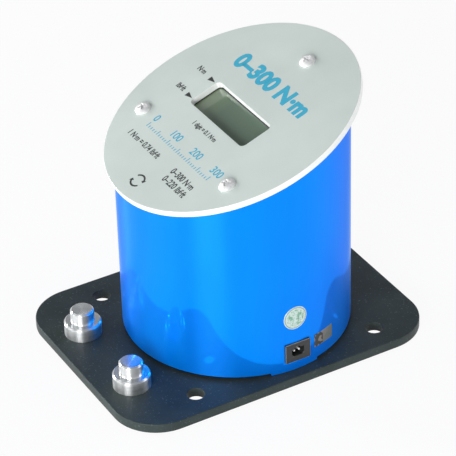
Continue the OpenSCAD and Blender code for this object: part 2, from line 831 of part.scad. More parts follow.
module inner_shelf() {
    color([0.66, 0.68, 0.70]) at_axis() translate([0, 0, shelf_z]) difference() {
        cylinder(r = shelf_r, h = shelf_t);
        translate([0, 0, -cut]) {
            cylinder(r = shelf_hole_r, h = shelf_t + 2 * cut);
            translate([wire_slot_r, 0, 0])
                rounded_slab(wire_slot_l, wire_slot_w, shelf_t + 2 * cut, wire_slot_l / 4);
            around(shelf_screw_count, shelf_screw_r, shelf_screw_start)
                cylinder(d = small_thread + 2 * through_gap, h = shelf_t + 2 * cut);
            translate([0, board_y, 0]) board_corners()
                cylinder(d = small_thread + 2 * fit_gap, h = shelf_t + 2 * cut);
            strap_screw_places() cylinder(d = small_thread + 2 * fit_gap, h = shelf_t + 2 * cut);
        }
    }
}

module board_corners() {
    corners(measuring_board_w / 2 - spacer_inset, measuring_board_l / 2 - spacer_inset) children();
}

module strap_screw_places() {
    for (i = [-1, 1])
        translate([i * (strap_x + strap_t + strap_foot / 2), strap_y, 0]) children();
}

module shelf_screws() {
    color([0.80, 0.81, 0.82]) at_axis() around(shelf_screw_count, shelf_screw_r, shelf_screw_start)
        translate([0, 0, shelf_top]) cap_screw(small_thread, shelf_t + shoulder_h - side_gap);
}

module measuring_board() {
    color([0.08, 0.35, 0.20]) at_axis() translate([0, board_y, board_z]) difference() {
        block(measuring_board_w, measuring_board_l, board_t);
        translate([0, 0, -cut]) board_corners()
            cylinder(d = small_thread + 2 * through_gap, h = board_t + 2 * cut);
    }
}

module board_spacers() {
    color([0.80, 0.70, 0.40]) at_axis() translate([0, board_y, shelf_top]) board_corners() difference() {
        cylinder(d = spacer_d, h = spacer_h);
        translate([0, 0, -cut]) cylinder(d = small_thread + 2 * fit_gap, h = spacer_h + 2 * cut);
    }
}

module board_screws() {
    color([0.80, 0.81, 0.82]) at_axis() translate([0, board_y, board_top]) board_corners()
        cap_screw(small_thread, board_t + spacer_h + shelf_t);
}

// Amplifier, converter, header, terminal and capacitors on the measuring board
module measuring_board_parts() {
    small_chip = 8;
    large_chip = 12;
    can_d = 8;
    terminal_l = 2 * terminal_rise;
    terminal_w = 10;
    part_x = measuring_board_w / 4;
    part_y = measuring_board_l / 6;
    color([0.10, 0.10, 0.11]) at_axis() translate([0, board_y, board_top]) {
        translate([-part_x, 0, 0]) chip(small_chip, large_chip, small_chip / 4);
        translate([-part_x, 2 * part_y, 0]) chip(large_chip, small_chip, small_chip / 4);
        translate([0, ribbon_board_y - board_y, 0]) block(header_w, header_l, header_h);
        translate([measuring_board_w / 2 - terminal_l / 2, terminal_y - board_y, 0])
            block(terminal_l, terminal_w, terminal_l);
        for (j = [-1, 1]) translate([part_x, j * part_y - 2 * part_y, 0]) cylinder(d = can_d, h = can_d);
    }
}

// Plug of the gauge cable, under the measuring board on the swivel axis
module gauge_plug() {
    color([0.85, 0.85, 0.80]) at_axis() translate([0, 0, board_z - plug_body_h])
        block(plug_body_w, plug_body_l, plug_body_h);
}

// A point on a cubic curve and the direction of the curve there
function curve_point(p, t) = pow(1 - t, 3) * p[0] + 3 * pow(1 - t, 2) * t * p[1]
    + 3 * (1 - t) * t * t * p[2] + pow(t, 3) * p[3];
function curve_slope(p, t) = 3 * pow(1 - t, 2) * (p[1] - p[0]) + 6 * (1 - t) * t * (p[2] - p[1])
    + 3 * t * t * (p[3] - p[2]);
function unit(v) = v / norm(v);

// Flat cable that leaves the display board square to it and drops onto the lower header
module ribbon_cable() {
    drop = display_board_z + header_h;
    start = [ribbon_face_y * cos(face_tilt) + drop * sin(face_tilt),
        face_z + ribbon_face_y * sin(face_tilt) - drop * cos(face_tilt)];
    end = [ribbon_board_y, board_top + header_h];
    reach = (start[1] - end[1]) / 2;
    path = [start, start + reach * [sin(face_tilt), -cos(face_tilt)], end + [0, reach], end];
    half = ribbon_t / 2;
    side = [for (k = [0 : ribbon_steps]) let (t = k / ribbon_steps, s = unit(curve_slope(path, t)))
        curve_point(path, t) + half * [-s[1], s[0]]];
    back = [for (k = [0 : ribbon_steps]) let (t = 1 - k / ribbon_steps, s = unit(curve_slope(path, t)))
        curve_point(path, t) - half * [-s[1], s[0]]];
    color([0.62, 0.63, 0.65]) at_axis() rotate([90, 0, 90]) linear_extrude(ribbon_w, center = true)
        polygon(concat(side, back));
}

// One cell along Z: a can with soft edges and a contact stud at its positive end
module cell() {
    r = cell_d / 2;
    body_l = cell_l - cell_stud_h;
    rotate_extrude() polygon([
        [0, 0], [r - cell_edge, 0], [r, cell_edge], [r, body_l - cell_edge], [r - cell_edge, body_l],
        [cell_stud_d / 2, body_l], [cell_stud_d / 2, cell_l], [0, cell_l]
    ]);
}

// Battery cells along X, head to tail: three below and two nested above
module battery_cells() {
    low_z = shelf_top + side_gap + cell_d / 2;
    color([0.15, 0.45, 0.25]) at_axis() {
        for (k = [0 : 2]) translate([0, cell_y + k * cell_pitch, low_z])
            rotate([0, k % 2 == 0 ? 90 : -90, 0]) translate([0, 0, -cell_l / 2]) cell();
        for (k = [0 : 1]) translate([0, cell_y + (k + 1 / 2) * cell_pitch, low_z + row_rise])
            rotate([0, k % 2 == 0 ? -90 : 90, 0]) translate([0, 0, -cell_l / 2]) cell();
    }
}

// Bent strap over the cells, screwed to the shelf at both feet
module battery_strap() {
    outer_x = strap_x + strap_t;
    color([0.70, 0.72, 0.74]) at_axis() difference() {
        translate([0, strap_y + strap_w / 2, 0]) rotate([90, 0, 0]) linear_extrude(strap_w) difference() {
            union() {
                translate([-outer_x, shelf_top]) square([2 * outer_x, strap_top + strap_t - shelf_top]);
                translate([-outer_x - strap_foot, shelf_top]) square([2 * (outer_x + strap_foot), strap_t]);
            }
            translate([-strap_x, shelf_top - cut]) square([2 * strap_x, strap_top - shelf_top + cut]);
        }
        translate([0, 0, shelf_top - cut]) strap_screw_places()
            cylinder(d = small_thread + 2 * through_gap, h = strap_t + 2 * cut);
    }
}

module battery_screws() {
    color([0.80, 0.81, 0.82]) at_axis() translate([0, 0, shelf_top + strap_t])
        strap_screw_places() cap_screw(small_thread, strap_t + shelf_t + small_thread);
}

// Inlet

// Outline of the plug opening: two cut lower corners and a key at the top
module plug_outline() {
    w = plug_w / 2;
    h = plug_h / 2;
    polygon([
        [plug_corner - w, -h], [w - plug_corner, -h], [w, plug_corner - h], [w, h],
        [key_w / 2, h], [key_w / 2, h + key_h], [-key_w / 2, h + key_h], [-key_w / 2, h],
        [-w, h], [-w, plug_corner - h]
    ]);
}

module inlet_body() {
    color([0.07, 0.07, 0.08]) at_axis() translate([0, inlet_shift, inlet_z]) difference() {
        union() {
            translate([inlet_seat, 0, 0]) rotate([90, 0, 90])
                linear_extrude(bezel_t) rounded_square(bezel_w, bezel_h, bezel_t / 2);
            translate([inlet_back, -inlet_body_w / 2, -inlet_body_h / 2])
                cube([inlet_seat - inlet_back, inlet_body_w, inlet_body_h]);
        }
        translate([inlet_front - plug_depth, 0, 0]) rotate([90, 0, 90]) linear_extrude(plug_depth + cut)
            plug_outline();
        for (j = [-1, 1]) translate([inlet_back - cut, j * pin_span / 2, 0])
            rotate([0, 90, 0]) cylinder(d = pin_d + 2 * fit_gap, h = plug_depth);
    }
}

module inlet_pins() {
    color([0.85, 0.85, 0.80]) at_axis() for (j = [-1, 1])
        translate([pin_back, inlet_shift + j * pin_span / 2, inlet_z]) rotate([0, 90, 0]) rotate_extrude()
            polygon([[0, 0], [pin_d / 2, 0], [pin_d / 2, pin_front - pin_back - pin_nose],
                [pin_d / 2 - pin_nose / 2, pin_front - pin_back], [0, pin_front - pin_back]]);
}

// A round wire along a list of points: one ring of points per place, closed at both ends
function along(points, k, t) = let (a = points[max(k - 1, 0)], b = points[k], c = points[k + 1],
    d = points[min(k + 2, len(points) - 1)])
    0.5 * (2 * b + (c - a) * t + (2 * a - 5 * b + 4 * c - d) * t * t + (3 * b - a - 3 * c + d) * t * t * t);
function smooth(points, steps) = concat(
    [for (k = [0 : len(points) - 2], i = [0 : steps - 1]) along(points, k, i / steps)],
    [points[len(points) - 1]]);

module wire(points, d, sides) {
    last = len(points) - 1;
    rings = [for (k = [0 : last])
        let (s = unit(points[min(k + 1, last)] - points[max(k - 1, 0)]), u = unit(cross(s, [0, 1, 0])),
            v = cross(s, u))
        for (i = [0 : sides - 1]) points[k] + d / 2 * (u * cos(i * 360 / sides) + v * sin(i * 360 / sides))];
    walls = [for (k = [0 : last - 1], i = [0 : sides - 1]) let (a = k * sides + i, b = k * sides + (i + 1) % sides)
        each [[a, b, a + sides], [b, b + sides, a + sides]]];
    ends = [[for (i = [0 : sides - 1]) sides - 1 - i], [for (i = [0 : sides - 1]) last * sides + i]];
    polyhedron(points = rings, faces = concat(walls, ends));
}

// Two wires from the inlet up the housing wall, through the shelf to the board's terminal
module charging_wires() {
    terminal_x = measuring_board_w / 2 + 2 * fit_gap;
    terminal_z = board_top + terminal_rise;
    climb = shelf_z - inlet_z;
    color([0.70, 0.10, 0.10]) at_axis() for (j = [-1, 1]) let (y = j * pin_span / 2)
        wire(smooth([
            [pin_back - 2 * fit_gap, inlet_shift + y, inlet_z],
            [pin_back - wire_d, inlet_shift + y, inlet_z],
            [wire_r, inlet_shift + y, inlet_z + 2 * wire_d],
            [wire_r, y, inlet_z + climb / 3],
            [wire_r, y, inlet_z + 2 * climb / 3],
            [wire_r, y, shelf_top],
            [(wire_r + terminal_x) / 2 + wire_d, terminal_y + y, terminal_z],
            [terminal_x + wire_d, terminal_y + y, terminal_z],
            [terminal_x, terminal_y + y, terminal_z]
        ], wire_steps), wire_d, wire_sides);
}

// Labels

// A thin skin on the tube
module label_skin() { at_axis() ring(tube_r + label_t, tube_r, face_z); }

module seal_label() {
    color([0.82, 0.90, 0.84]) intersection() {
        label_skin();
        at_axis() translate([0, 0, plate_t + seal_rise]) rotate([0, 90, 0]) cylinder(d = seal_d, h = tube_d);
    }
}

module tag_label() {
    arc = tag_w / tube_r * 180 / PI;
    color([0.60, 0.62, 0.60]) at_axis() rotate([0, 0, tag_angle - arc / 2])
        translate([0, 0, plate_t + tag_rise - tag_h / 2])
            rotate_extrude(angle = arc) translate([tube_r, 0]) square([label_t, tag_h]);
}

base_plate();
support_studs();
stud_screws();
reaction_sleeve();
sleeve_screws();
guide_bush();
torsion_shaft();
shaft_screws();
strain_gauges();
gauge_leads();
gauge_cable();
lower_glide_ring();
upper_glide_ring();
retaining_ring();
retaining_screws();
housing_tube();
stop_pin();
carrier_plate();
face_plate();
face_screws();
window_gasket();
display_glass();
display_frame();
display_board();
display_board_parts();
display_standoffs();
display_screws();
inner_shelf();
shelf_screws();
measuring_board();
measuring_board_parts();
board_spacers();
board_screws();
gauge_plug();
ribbon_cable();
battery_cells();
battery_strap();
battery_screws();
inlet_body();
inlet_pins();
charging_wires();
seal_label();
tag_label();
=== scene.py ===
"""Visual model of a bench torque tester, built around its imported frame.

A coated base plate carries two turned studs. A round enamelled housing with a
slanted, printed face swivels on it. Each visible sub-assembly is a class with
its sizes in millimetres, each finish is a small frozen class, and main() builds
them in order.
"""

import json
import logging
import math
from contextlib import contextmanager
from dataclasses import dataclass
from enum import Enum
from typing import Callable, Iterator, Sequence

import bmesh
import bpy
from mathutils import Matrix, Vector
from mathutils.geometry import tessellate_polygon

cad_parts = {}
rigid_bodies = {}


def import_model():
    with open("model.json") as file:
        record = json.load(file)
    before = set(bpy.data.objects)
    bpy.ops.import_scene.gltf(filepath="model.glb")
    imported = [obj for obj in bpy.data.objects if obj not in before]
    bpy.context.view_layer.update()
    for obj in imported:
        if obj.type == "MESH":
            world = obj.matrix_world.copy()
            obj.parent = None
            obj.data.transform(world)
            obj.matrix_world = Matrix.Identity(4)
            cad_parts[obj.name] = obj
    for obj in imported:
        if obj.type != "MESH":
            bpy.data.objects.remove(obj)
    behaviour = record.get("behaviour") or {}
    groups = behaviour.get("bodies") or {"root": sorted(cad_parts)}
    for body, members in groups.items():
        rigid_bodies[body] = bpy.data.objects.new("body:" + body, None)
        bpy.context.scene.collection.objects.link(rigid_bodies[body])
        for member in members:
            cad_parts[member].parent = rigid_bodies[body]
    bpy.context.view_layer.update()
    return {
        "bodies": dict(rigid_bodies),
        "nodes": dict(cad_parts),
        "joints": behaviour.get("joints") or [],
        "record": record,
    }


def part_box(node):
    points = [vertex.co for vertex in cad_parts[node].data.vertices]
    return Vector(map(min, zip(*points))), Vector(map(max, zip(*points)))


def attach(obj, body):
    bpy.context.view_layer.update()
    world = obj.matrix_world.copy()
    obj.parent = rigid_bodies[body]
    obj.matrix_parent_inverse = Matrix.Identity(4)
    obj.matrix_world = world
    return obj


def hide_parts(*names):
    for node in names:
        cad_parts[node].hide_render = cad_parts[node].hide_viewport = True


LOG = logging.getLogger("torque_tester")

MM = 0.001
SMOOTH_TURN = 192
SHARP_ANGLE = math.radians(32)
WELD = 1e-6
LEVEL = 0.9
SEED = 7
INK_T = 0.04
NO_TRIM = (1000.0, 0.0)
ROUND_AXIS = (0.05, 0.05, 1)

Colour = tuple[float, float, float]
Corner = tuple[float, float, float]
Loop = list[Vector]
Outline = Callable[[float], Loop]
Section = list[tuple[float, float]]
Stops = Sequence[tuple[float, Colour]]


class Body(str, Enum):
    """The bodies of the frame that the pieces ride on."""

    BASE = "base"
    HEAD = "head"


def srgb(*channels: int) -> Colour:
    """Turns display values from 0 to 255 into a linear colour.

    Args:
        channels: The red, green and blue value.

    Returns:
        The linear colour.
    """
    shares = [channel / 255 for channel in channels]
    return tuple(s / 12.92 if s <= 0.04045 else ((s + 0.055) / 1.055) ** 2.4 for s in shares)


def scaled(colour: Colour, factor: float, lift: float = 0.0) -> Colour:
    """Makes a colour darker or lighter by a factor and lifts it towards white."""
    return tuple(min(1.0, factor * c + lift) for c in colour)


class Term:
    """A node socket that takes part in plain arithmetic."""

    def __init__(self, kit: "NodeKit", socket: bpy.types.NodeSocket) -> None:
        self.kit = kit
        self.socket = socket

    def __add__(self, other: "Term | float") -> "Term":
        """Adds."""
        return self.kit.math("ADD", self, other)

    def __radd__(self, other: float) -> "Term":
        """Adds to a number."""
        return self.kit.math("ADD", other, self)

    def __sub__(self, other: "Term | float") -> "Term":
        """Subtracts."""
        return self.kit.math("SUBTRACT", self, other)

    def __rsub__(self, other: float) -> "Term":
        """Subtracts from a number."""
        return self.kit.math("SUBTRACT", other, self)

    def __mul__(self, other: "Term | float") -> "Term":
        """Multiplies."""
        return self.kit.math("MULTIPLY", self, other)

    def __rmul__(self, other: float) -> "Term":
        """Multiplies a number."""
        return self.kit.math("MULTIPLY", other, self)

    def __truediv__(self, other: "Term | float") -> "Term":
        """Divides."""
        return self.kit.math("DIVIDE", self, other)

    def __gt__(self, other: "Term | float") -> "Term":
        """Gives 1 where it is larger, otherwise 0."""
        return self.kit.math("GREATER_THAN", self, other)

    def __lt__(self, other: "Term | float") -> "Term":
        """Gives 1 where it is smaller, otherwise 0."""
        return self.kit.math("LESS_THAN", self, other)


class NodeKit:
    """Makes and joins the nodes of one tree."""

    def __init__(self, tree: bpy.types.NodeTree) -> None:
        """Keeps the tree that the nodes go into."""
        self.tree = tree

    def add(self, kind: str, settings: dict | None = None, values: dict | None = None) -> bpy.types.Node:
        """Makes one node.

        Args:
            kind: The node's type.
            settings: Its settings, or the stops of a ramp, which are set first.
            values: A value, a Term or a socket for each input, by name or place.

        Returns:
            The new node.
        """
        node = self.tree.nodes.new(kind)
        for name, setting in (settings or {}).items():
            if name == "stops":
                self._set_stops(node.color_ramp, setting)
            else:
                setattr(node, name, setting)
        for name, value in (values or {}).items():
            source = value.socket if isinstance(value, Term) else value
            if isinstance(source, bpy.types.NodeSocket):
                self.tree.links.new(source, node.inputs[name])
            else:
                node.inputs[name].default_value = source
        return node

    @staticmethod
    def _set_stops(ramp: bpy.types.ColorRamp, stops: Stops) -> None:
        """Gives a ramp its stops.

        Args:
            ramp: The ramp.
            stops: The place and the colour of each stop.
        """
        while len(ramp.elements) < len(stops):
            ramp.elements.new(1.0)
        for element, (place, colour) in zip(ramp.elements, stops):
            element.position = place
            element.color = (*colour, 1.0)

    def term(self, node: bpy.types.Node, output: str | int = 0) -> Term:
        """Wraps one output of a node."""
        return Term(self, node.outputs[output])

    def math(self, operation: str, *values: "Term | float") -> Term:
        """Makes a Math node.

        Args:
            operation: What it does.
            values: Its numbers or terms.

        Returns:
            Its result.
        """
        return self.term(self.add("ShaderNodeMath", {"operation": operation}, dict(enumerate(values))))

    def part(self, vector: "Term | bpy.types.NodeSocket", axis: str) -> "Term":
        """Gives one part of a vector."""
        return self.term(self.add("ShaderNodeSeparateXYZ", {}, {0: vector}), axis)

    def blend(self, share: "Term | float", first: bpy.types.NodeSocket,
              second: bpy.types.NodeSocket) -> bpy.types.NodeSocket:
        """Mixes two shaders by the share of the second one."""
        return self.add("ShaderNodeMixShader", {}, {0: share, 1: first, 2: second}).outputs[0]

    def vector_math(self, operation: str, values: dict) -> bpy.types.Node:
        """Makes a Vector Math node with values for its inputs, by place or name."""
        return self.add("ShaderNodeVectorMath", {"operation": operation}, values)


class ShaderKit(NodeKit):
    """Makes one material whose patterns lie on object coordinates."""

    def __init__(self, name: str) -> None:
        """Makes the material and its coordinates.

        Args:
            name: The material's name.
        """
        self.material = bpy.data.materials.new(name)
        self.material.use_nodes = True
        super().__init__(self.material.node_tree)
        self.tree.nodes.clear()
        self.place = self.term(self.add("ShaderNodeTexCoord"), "Object")

    def centred(self, centre: Sequence[float] = (0, 0, 0), turn: Sequence[float] = (0, 0, 0),
                scale: Sequence[float] = (1, 1, 1)) -> Term:
        """Moves and turns the coordinates.

        Args:
            centre: The pattern's middle, in metres.
            turn: The pattern's Euler angles.
            scale: The pattern's scale along its own axes.

        Returns:
            The coordinates about that middle.
        """
        mapping = self.add("ShaderNodeMapping", {"vector_type": "TEXTURE"}, {
            "Vector": self.place, "Location": centre, "Rotation": turn,
            "Scale": [1 / s for s in scale]})
        return self.term(mapping)

    def noise(self, scale: float, detail: float = 2.0, roughness: float = 0.5,
              place: Term | None = None) -> Term:
        """Adds a noise pattern.

        Args:
            scale: Its features per metre.
            detail: Its octaves.
            roughness: How strong the finer octaves are.
            place: Other coordinates than the object's.

        Returns:
            Its value, about 0.5 in the middle.
        """
        node = self.add("ShaderNodeTexNoise", {}, {
            "Vector": place or self.place, "Scale": scale, "Detail": detail, "Roughness": roughness})
        return self.term(node, "Fac")

    def span(self, value: Term, low: float, high: float, start: float = 0.0, end: float = 1.0) -> Term:
        """Maps one range of a value onto another.

        Args:
            value: The value.
            low: Where its range starts.
            high: Where its range ends.
            start: The result at the start and below it.
            end: The result at the end and above it.

        Returns:
            The mapped value.
        """
        node = self.add("ShaderNodeMapRange", {"clamp": True}, {
            "Value": value, "From Min": low, "From Max": high, "To Min": start, "To Max": end})
        return self.term(node, "Result")

    def spread(self, pattern: Term, start: float = 0.0, end: float = 1.0) -> Term:
        """Spreads a noise pattern, whose values lie mostly from 0.3 to 0.7, between two values."""
        return self.span(pattern, 0.3, 0.7, start, end)

    def mix(self, factor: "Term | float", first: "Term | Colour", second: "Term | Colour") -> Term:
        """Mixes two colours.

        Args:
            factor: How much of the second one.
            first: A colour or a colour term.
            second: A colour or a colour term.

        Returns:
            The mixed colour.
        """
        first_place, second_place, result = 6, 7, 2
        values = {0: factor}
        for place, colour in ((first_place, first), (second_place, second)):
            values[place] = colour if isinstance(colour, Term) else (*colour, 1.0)
        node = self.add("ShaderNodeMix", {"data_type": "RGBA"}, values)
        return self.term(node, result)

    def bump(self, height: Term, depth: float, strength: float = 1.0) -> Term:
        """Turns a height from 0 to 1 into a normal.

        Args:
            height: The pattern.
            depth: The real depth of the pattern in millimetres.
            strength: How much of it shows.

        Returns:
            The normal.
        """
        return self.term(self.add("ShaderNodeBump", {}, {
            "Strength": strength, "Distance": depth * MM, "Height": height}))

    def shader(self, varying: dict, constants: dict | None = None) -> bpy.types.NodeSocket:
        """Makes a Principled shader.

        Args:
            varying: Terms, or plain values, for its main sockets.
            constants: Plain values for its other sockets.

        Returns:
            Its output.
        """
        values = dict(constants or {})
        for name, value in varying.items():
            is_colour = name == "Base Color" and not isinstance(value, Term)
            values[name] = (*value, 1.0) if is_colour else value
        return self.add("ShaderNodeBsdfPrincipled", {}, values).outputs["BSDF"]

    def surface(self, output: bpy.types.NodeSocket) -> bpy.types.Material:
        """Ends the material in a shader's output."""
        self.add("ShaderNodeOutputMaterial", {}, {"Surface": output})
        return self.material

    def close(self, varying: dict, constants: dict | None = None) -> bpy.types.Material:
        """Ends the material in one Principled shader, from varying and from plain values."""
        return self.surface(self.shader(varying, constants))


def across_grooves(strength: float) -> dict[str, float]:
    """Gives the plain shader values that spread light across turning grooves."""
    return {"Anisotropic": strength, "Anisotropic Rotation": 0.25}


@dataclass(frozen=True)
class Finish:
    """A surface finish and the record's slot that it dresses."""

    slot: str

    def build(self) -> bpy.types.Material:
        """Makes the material."""
        raise NotImplementedError


@dataclass(frozen=True)
class CoatedPlate(Finish):
    """Dark, fine-grained stove enamel on rolled plate."""

    slot: str = "plate_coating"
    shade: Colour = srgb(42, 51, 50)
    light: Colour = srgb(54, 64, 63)
    speck: Colour = srgb(104, 115, 114)

    def build(self) -> bpy.types.Material:
        """Makes a speckled, slightly pebbled coating.

        Returns:
            The material.
        """
        kit = ShaderKit(self.slot)
        cloud = kit.noise(28.0, 4.0, 0.6)
        grain = kit.noise(2400.0, 2.0, 0.7)
        fleck = kit.span(kit.noise(900.0, 1.0, 0.5), 0.66, 0.74)
        scuff = kit.span(kit.noise(70.0, 6.0, 0.75), 0.60, 0.72)
        ground = kit.mix(kit.span(cloud, 0.35, 0.65), self.shade, self.light)
        colour = kit.mix(fleck * 0.45 + scuff * 0.12, ground, self.speck)
        pebble = grain * 0.6 + kit.noise(700.0, 2.0, 0.5) * 0.4
        gloss = kit.spread(grain, 0.40, 0.52)
        return kit.close({
            "Base Color": colour, "Roughness": gloss - scuff * 0.06,
            "Normal": kit.bump(pebble, 0.05, 0.55)}, {"Specular IOR Level": 0.24})


@dataclass(frozen=True)
class HousingEnamel(Finish):
    """Bright enamel on a turned tube, under a glossy coat."""

    slot: str = "housing_enamel"
    deep: Colour = srgb(0, 124, 255)
    bright: Colour = srgb(0, 140, 255)
    mirror: Colour = srgb(0, 150, 255)
    mirror_share: float = 0.3
    satin_tint: tuple[float, ...] = (0.3, 0.55, 1.0, 1.0)
    edge_tint: tuple[float, ...] = (0.05, 0.4, 1.0, 1.0)

    def build(self) -> bpy.types.Material:
        """Makes a satin ground with turning marks, mixed with a smooth, tinted gloss.

        Returns:
            The material.
        """
        kit = ShaderKit(self.slot)
        streak = kit.noise(40.0, 2.0, 0.5, kit.centred(scale=(1, 1, 0.15)))
        cloud = kit.noise(9.0, 2.0, 0.5)
        ripple = kit.noise(55.0, 1.0, 0.4, kit.centred(scale=(1, 1, 0.3)))
        colour = kit.mix(kit.span(streak * 0.4 + cloud * 0.6, 0.36, 0.64), self.deep, self.bright)
        relief = kit.bump(ripple, 0.02, 0.4)
        satin = kit.shader({
            "Base Color": colour, "Metallic": 0.35,
            "Roughness": kit.spread(streak, 0.34, 0.38), "Normal": relief}, {
            **across_grooves(0.92), "Specular IOR Level": 0.4, "Specular Tint": self.satin_tint})
        gloss = kit.shader({
            "Base Color": self.mirror, "Metallic": 1.0, "Roughness": 0.05, "Normal": relief}, {
            "Specular Tint": self.edge_tint})
        return kit.surface(kit.blend(self.mirror_share, satin, gloss))


@dataclass(frozen=True)
class PrintedSheet(Finish):
    """Pale satin sheet of the face plate."""

    slot: str = "face_sheet"
    shade: Colour = srgb(200, 211, 206)
    light: Colour = srgb(211, 221, 217)

    def build(self) -> bpy.types.Material:
        """Makes a satin sheet with a very fine grain.

        Returns:
            The material.
        """
        kit = ShaderKit(self.slot)
        grain = kit.noise(2600.0, 2.0, 0.6)
        cloud = kit.noise(16.0, 3.0, 0.55)
        colour = kit.mix(kit.span(cloud * 0.8 + grain * 0.2, 0.35, 0.65), self.shade, self.light)
        return kit.close({
            "Base Color": colour, "Metallic": 0.1,
            "Roughness": kit.spread(grain, 0.34, 0.44),
            "Normal": kit.bump(grain, 0.012, 0.35)})


@dataclass(frozen=True)
class SheetEdge(Finish):
    """Bare milled edge of the face plate."""

    slot: str = "face_sheet"
    colour: Colour = srgb(246, 248, 247)

    def build(self) -> bpy.types.Material:
        """Makes bright milled metal with a fine grain.

        Returns:
            The material.
        """
        kit = ShaderKit("face_sheet_edge")
        grain = kit.noise(1500.0, 2.0, 0.6)
        dull = scaled(self.colour, 0.92)
        return kit.close({
            "Base Color": kit.mix(kit.spread(grain), dull, self.colour), "Metallic": 0.15,
            "Roughness": kit.spread(grain, 0.3, 0.42), "Normal": kit.bump(grain, 0.01, 0.4)})


@dataclass(frozen=True)
class Ink(Finish):
    """Screen print on the face."""

    slot: str = "face_sheet"
    name: str = "print_black"
    colour: Colour = srgb(24, 30, 32)

    def build(self) -> bpy.types.Material:
        """Makes a thin, slightly uneven layer of ink.

        Returns:
            The material.
        """
        kit = ShaderKit(self.name)
        cover = kit.span(kit.noise(1800.0, 3.0, 0.65), 0.25, 0.6)
        thin = scaled(self.colour, 0.85, 0.09)
        return kit.close({
            "Base Color": kit.mix(cover, thin, self.colour),
            "Roughness": kit.span(cover, 0.0, 1.0, 0.5, 0.38),
            "Normal": kit.bump(cover, 0.01, 0.4)})


@dataclass(frozen=True)
class TurnedSteel(Finish):
    """Bright turned steel, whose fine grooves run round its axis, with smoother faced flats."""

    slot: str = "turned_steel"
    colour: Colour = srgb(232, 234, 235)
    roughness: float = 0.34
    facing: float = 0.14
    centre: tuple[float, float, float] = (0, 0, 0)

    def build(self) -> bpy.types.Material:
        """Makes turned steel that spreads light across its grooves.

        Returns:
            The material.
        """
        kit = ShaderKit(self.slot)
        rings = kit.noise(1300.0, 2.0, 0.6, kit.centred(self.centre, scale=ROUND_AXIS))
        stain = kit.noise(160.0, 4.0, 0.6)
        dark = scaled(self.colour, 0.86)
        normal = kit.add("ShaderNodeNewGeometry").outputs["Normal"]
        faced = kit.part(normal, "Z") > LEVEL
        colour = kit.mix(kit.spread(rings * 0.6 + stain * 0.4), dark, self.colour)
        worn = kit.spread(rings, self.roughness - 0.03, self.roughness + 0.05)
        return kit.close({
            "Base Color": colour, "Metallic": 1.0, "Roughness": worn - faced * self.facing,
            "Normal": kit.bump(rings, 0.006, 0.3)}, across_grooves(0.8))


@dataclass(frozen=True)
class WorkedMetal(Finish):
    """Machined, plated or rolled metal."""

    slot: str = "machined_aluminium"
    colour: Colour = srgb(190, 193, 196)
    roughness: float = 0.32
    grain: float = 900.0
    stretch: tuple[float, float, float] = (1, 1, 1)
    depth: float = 0.01
    metallic: float = 1.0

    def build(self) -> bpy.types.Material:
        """Makes metal with a fine grain along one direction and a few stains.

        Returns:
            The material.
        """
        kit = ShaderKit(self.slot)
        grain = kit.noise(self.grain, 3.0, 0.6, kit.centred(scale=self.stretch))
        stain = kit.noise(120.0, 4.0, 0.6)
        dark = scaled(self.colour, 0.7)
        colour = kit.mix(kit.span(grain * 0.5 + stain * 0.5, 0.34, 0.62), dark, self.colour)
        return kit.close({
            "Base Color": colour, "Metallic": self.metallic,
            "Roughness": kit.spread(stain, self.roughness - 0.06, self.roughness + 0.08),
            "Normal": kit.bump(grain, self.depth, 0.6)})


@dataclass(frozen=True)
class Moulded(Finish):
    """Moulded plastic, rubber or lacquered wrap."""

    slot: str = "black_plastic"
    colour: Colour = srgb(22, 23, 24)
    roughness: float = 0.42
    grain: float = 1600.0
    depth: float = 0.03

    def build(self) -> bpy.types.Material:
        """Makes a moulded surface with an eroded grain.

        Returns:
            The material.
        """
        kit = ShaderKit(self.slot)
        grain = kit.noise(self.grain, 3.0, 0.6)
        cloud = kit.noise(90.0, 3.0, 0.5)
        pale = scaled(self.colour, 1.18, 0.004)
        return kit.close({
            "Base Color": kit.mix(kit.span(cloud * 0.5 + grain * 0.5, 0.35, 0.65), self.colour, pale),
            "Roughness": kit.spread(grain, self.roughness - 0.07, self.roughness + 0.07),
            "Normal": kit.bump(grain, self.depth, 0.5)})


@dataclass(frozen=True)
class Crystal(Finish):
    """Glass of a liquid crystal display over its grey-green ground, with a painted patch of light at one
    end.
    """

    slot: str = "display_glass"
    ground: Colour = srgb(88, 107, 92)
    # Colour of the painted patch of light at one end of the display.
    lighter: Colour = srgb(112, 132, 98)
    middle: tuple[float, float, float] = (0, 0, 0)
    tilt: float = 0.0
    half_width: float = 0.03

    def build(self) -> bpy.types.Material:
        """Makes a glossy display with a painted patch of light at one end and a faint cell pattern.

        Returns:
            The material.
        """
        kit = ShaderKit(self.slot)
        across = kit.part(kit.centred(self.middle, (self.tilt, 0, 0)), "X")
        # Painted light: the glass turns lighter towards one end of the window.
        end = kit.span(across, -self.half_width, -self.half_width * 0.35, 0.8, 0.0)
        cloud = kit.noise(45.0, 2.0, 0.5) * 0.12
        colour = kit.mix(end + cloud, self.ground, self.lighter)
        return kit.close({
            "Base Color": colour, "Roughness": kit.spread(kit.noise(300.0), 0.10, 0.16)},
            {"Specular IOR Level": 0.6, "Coat Weight": 0.5, "Coat Roughness": 0.04})


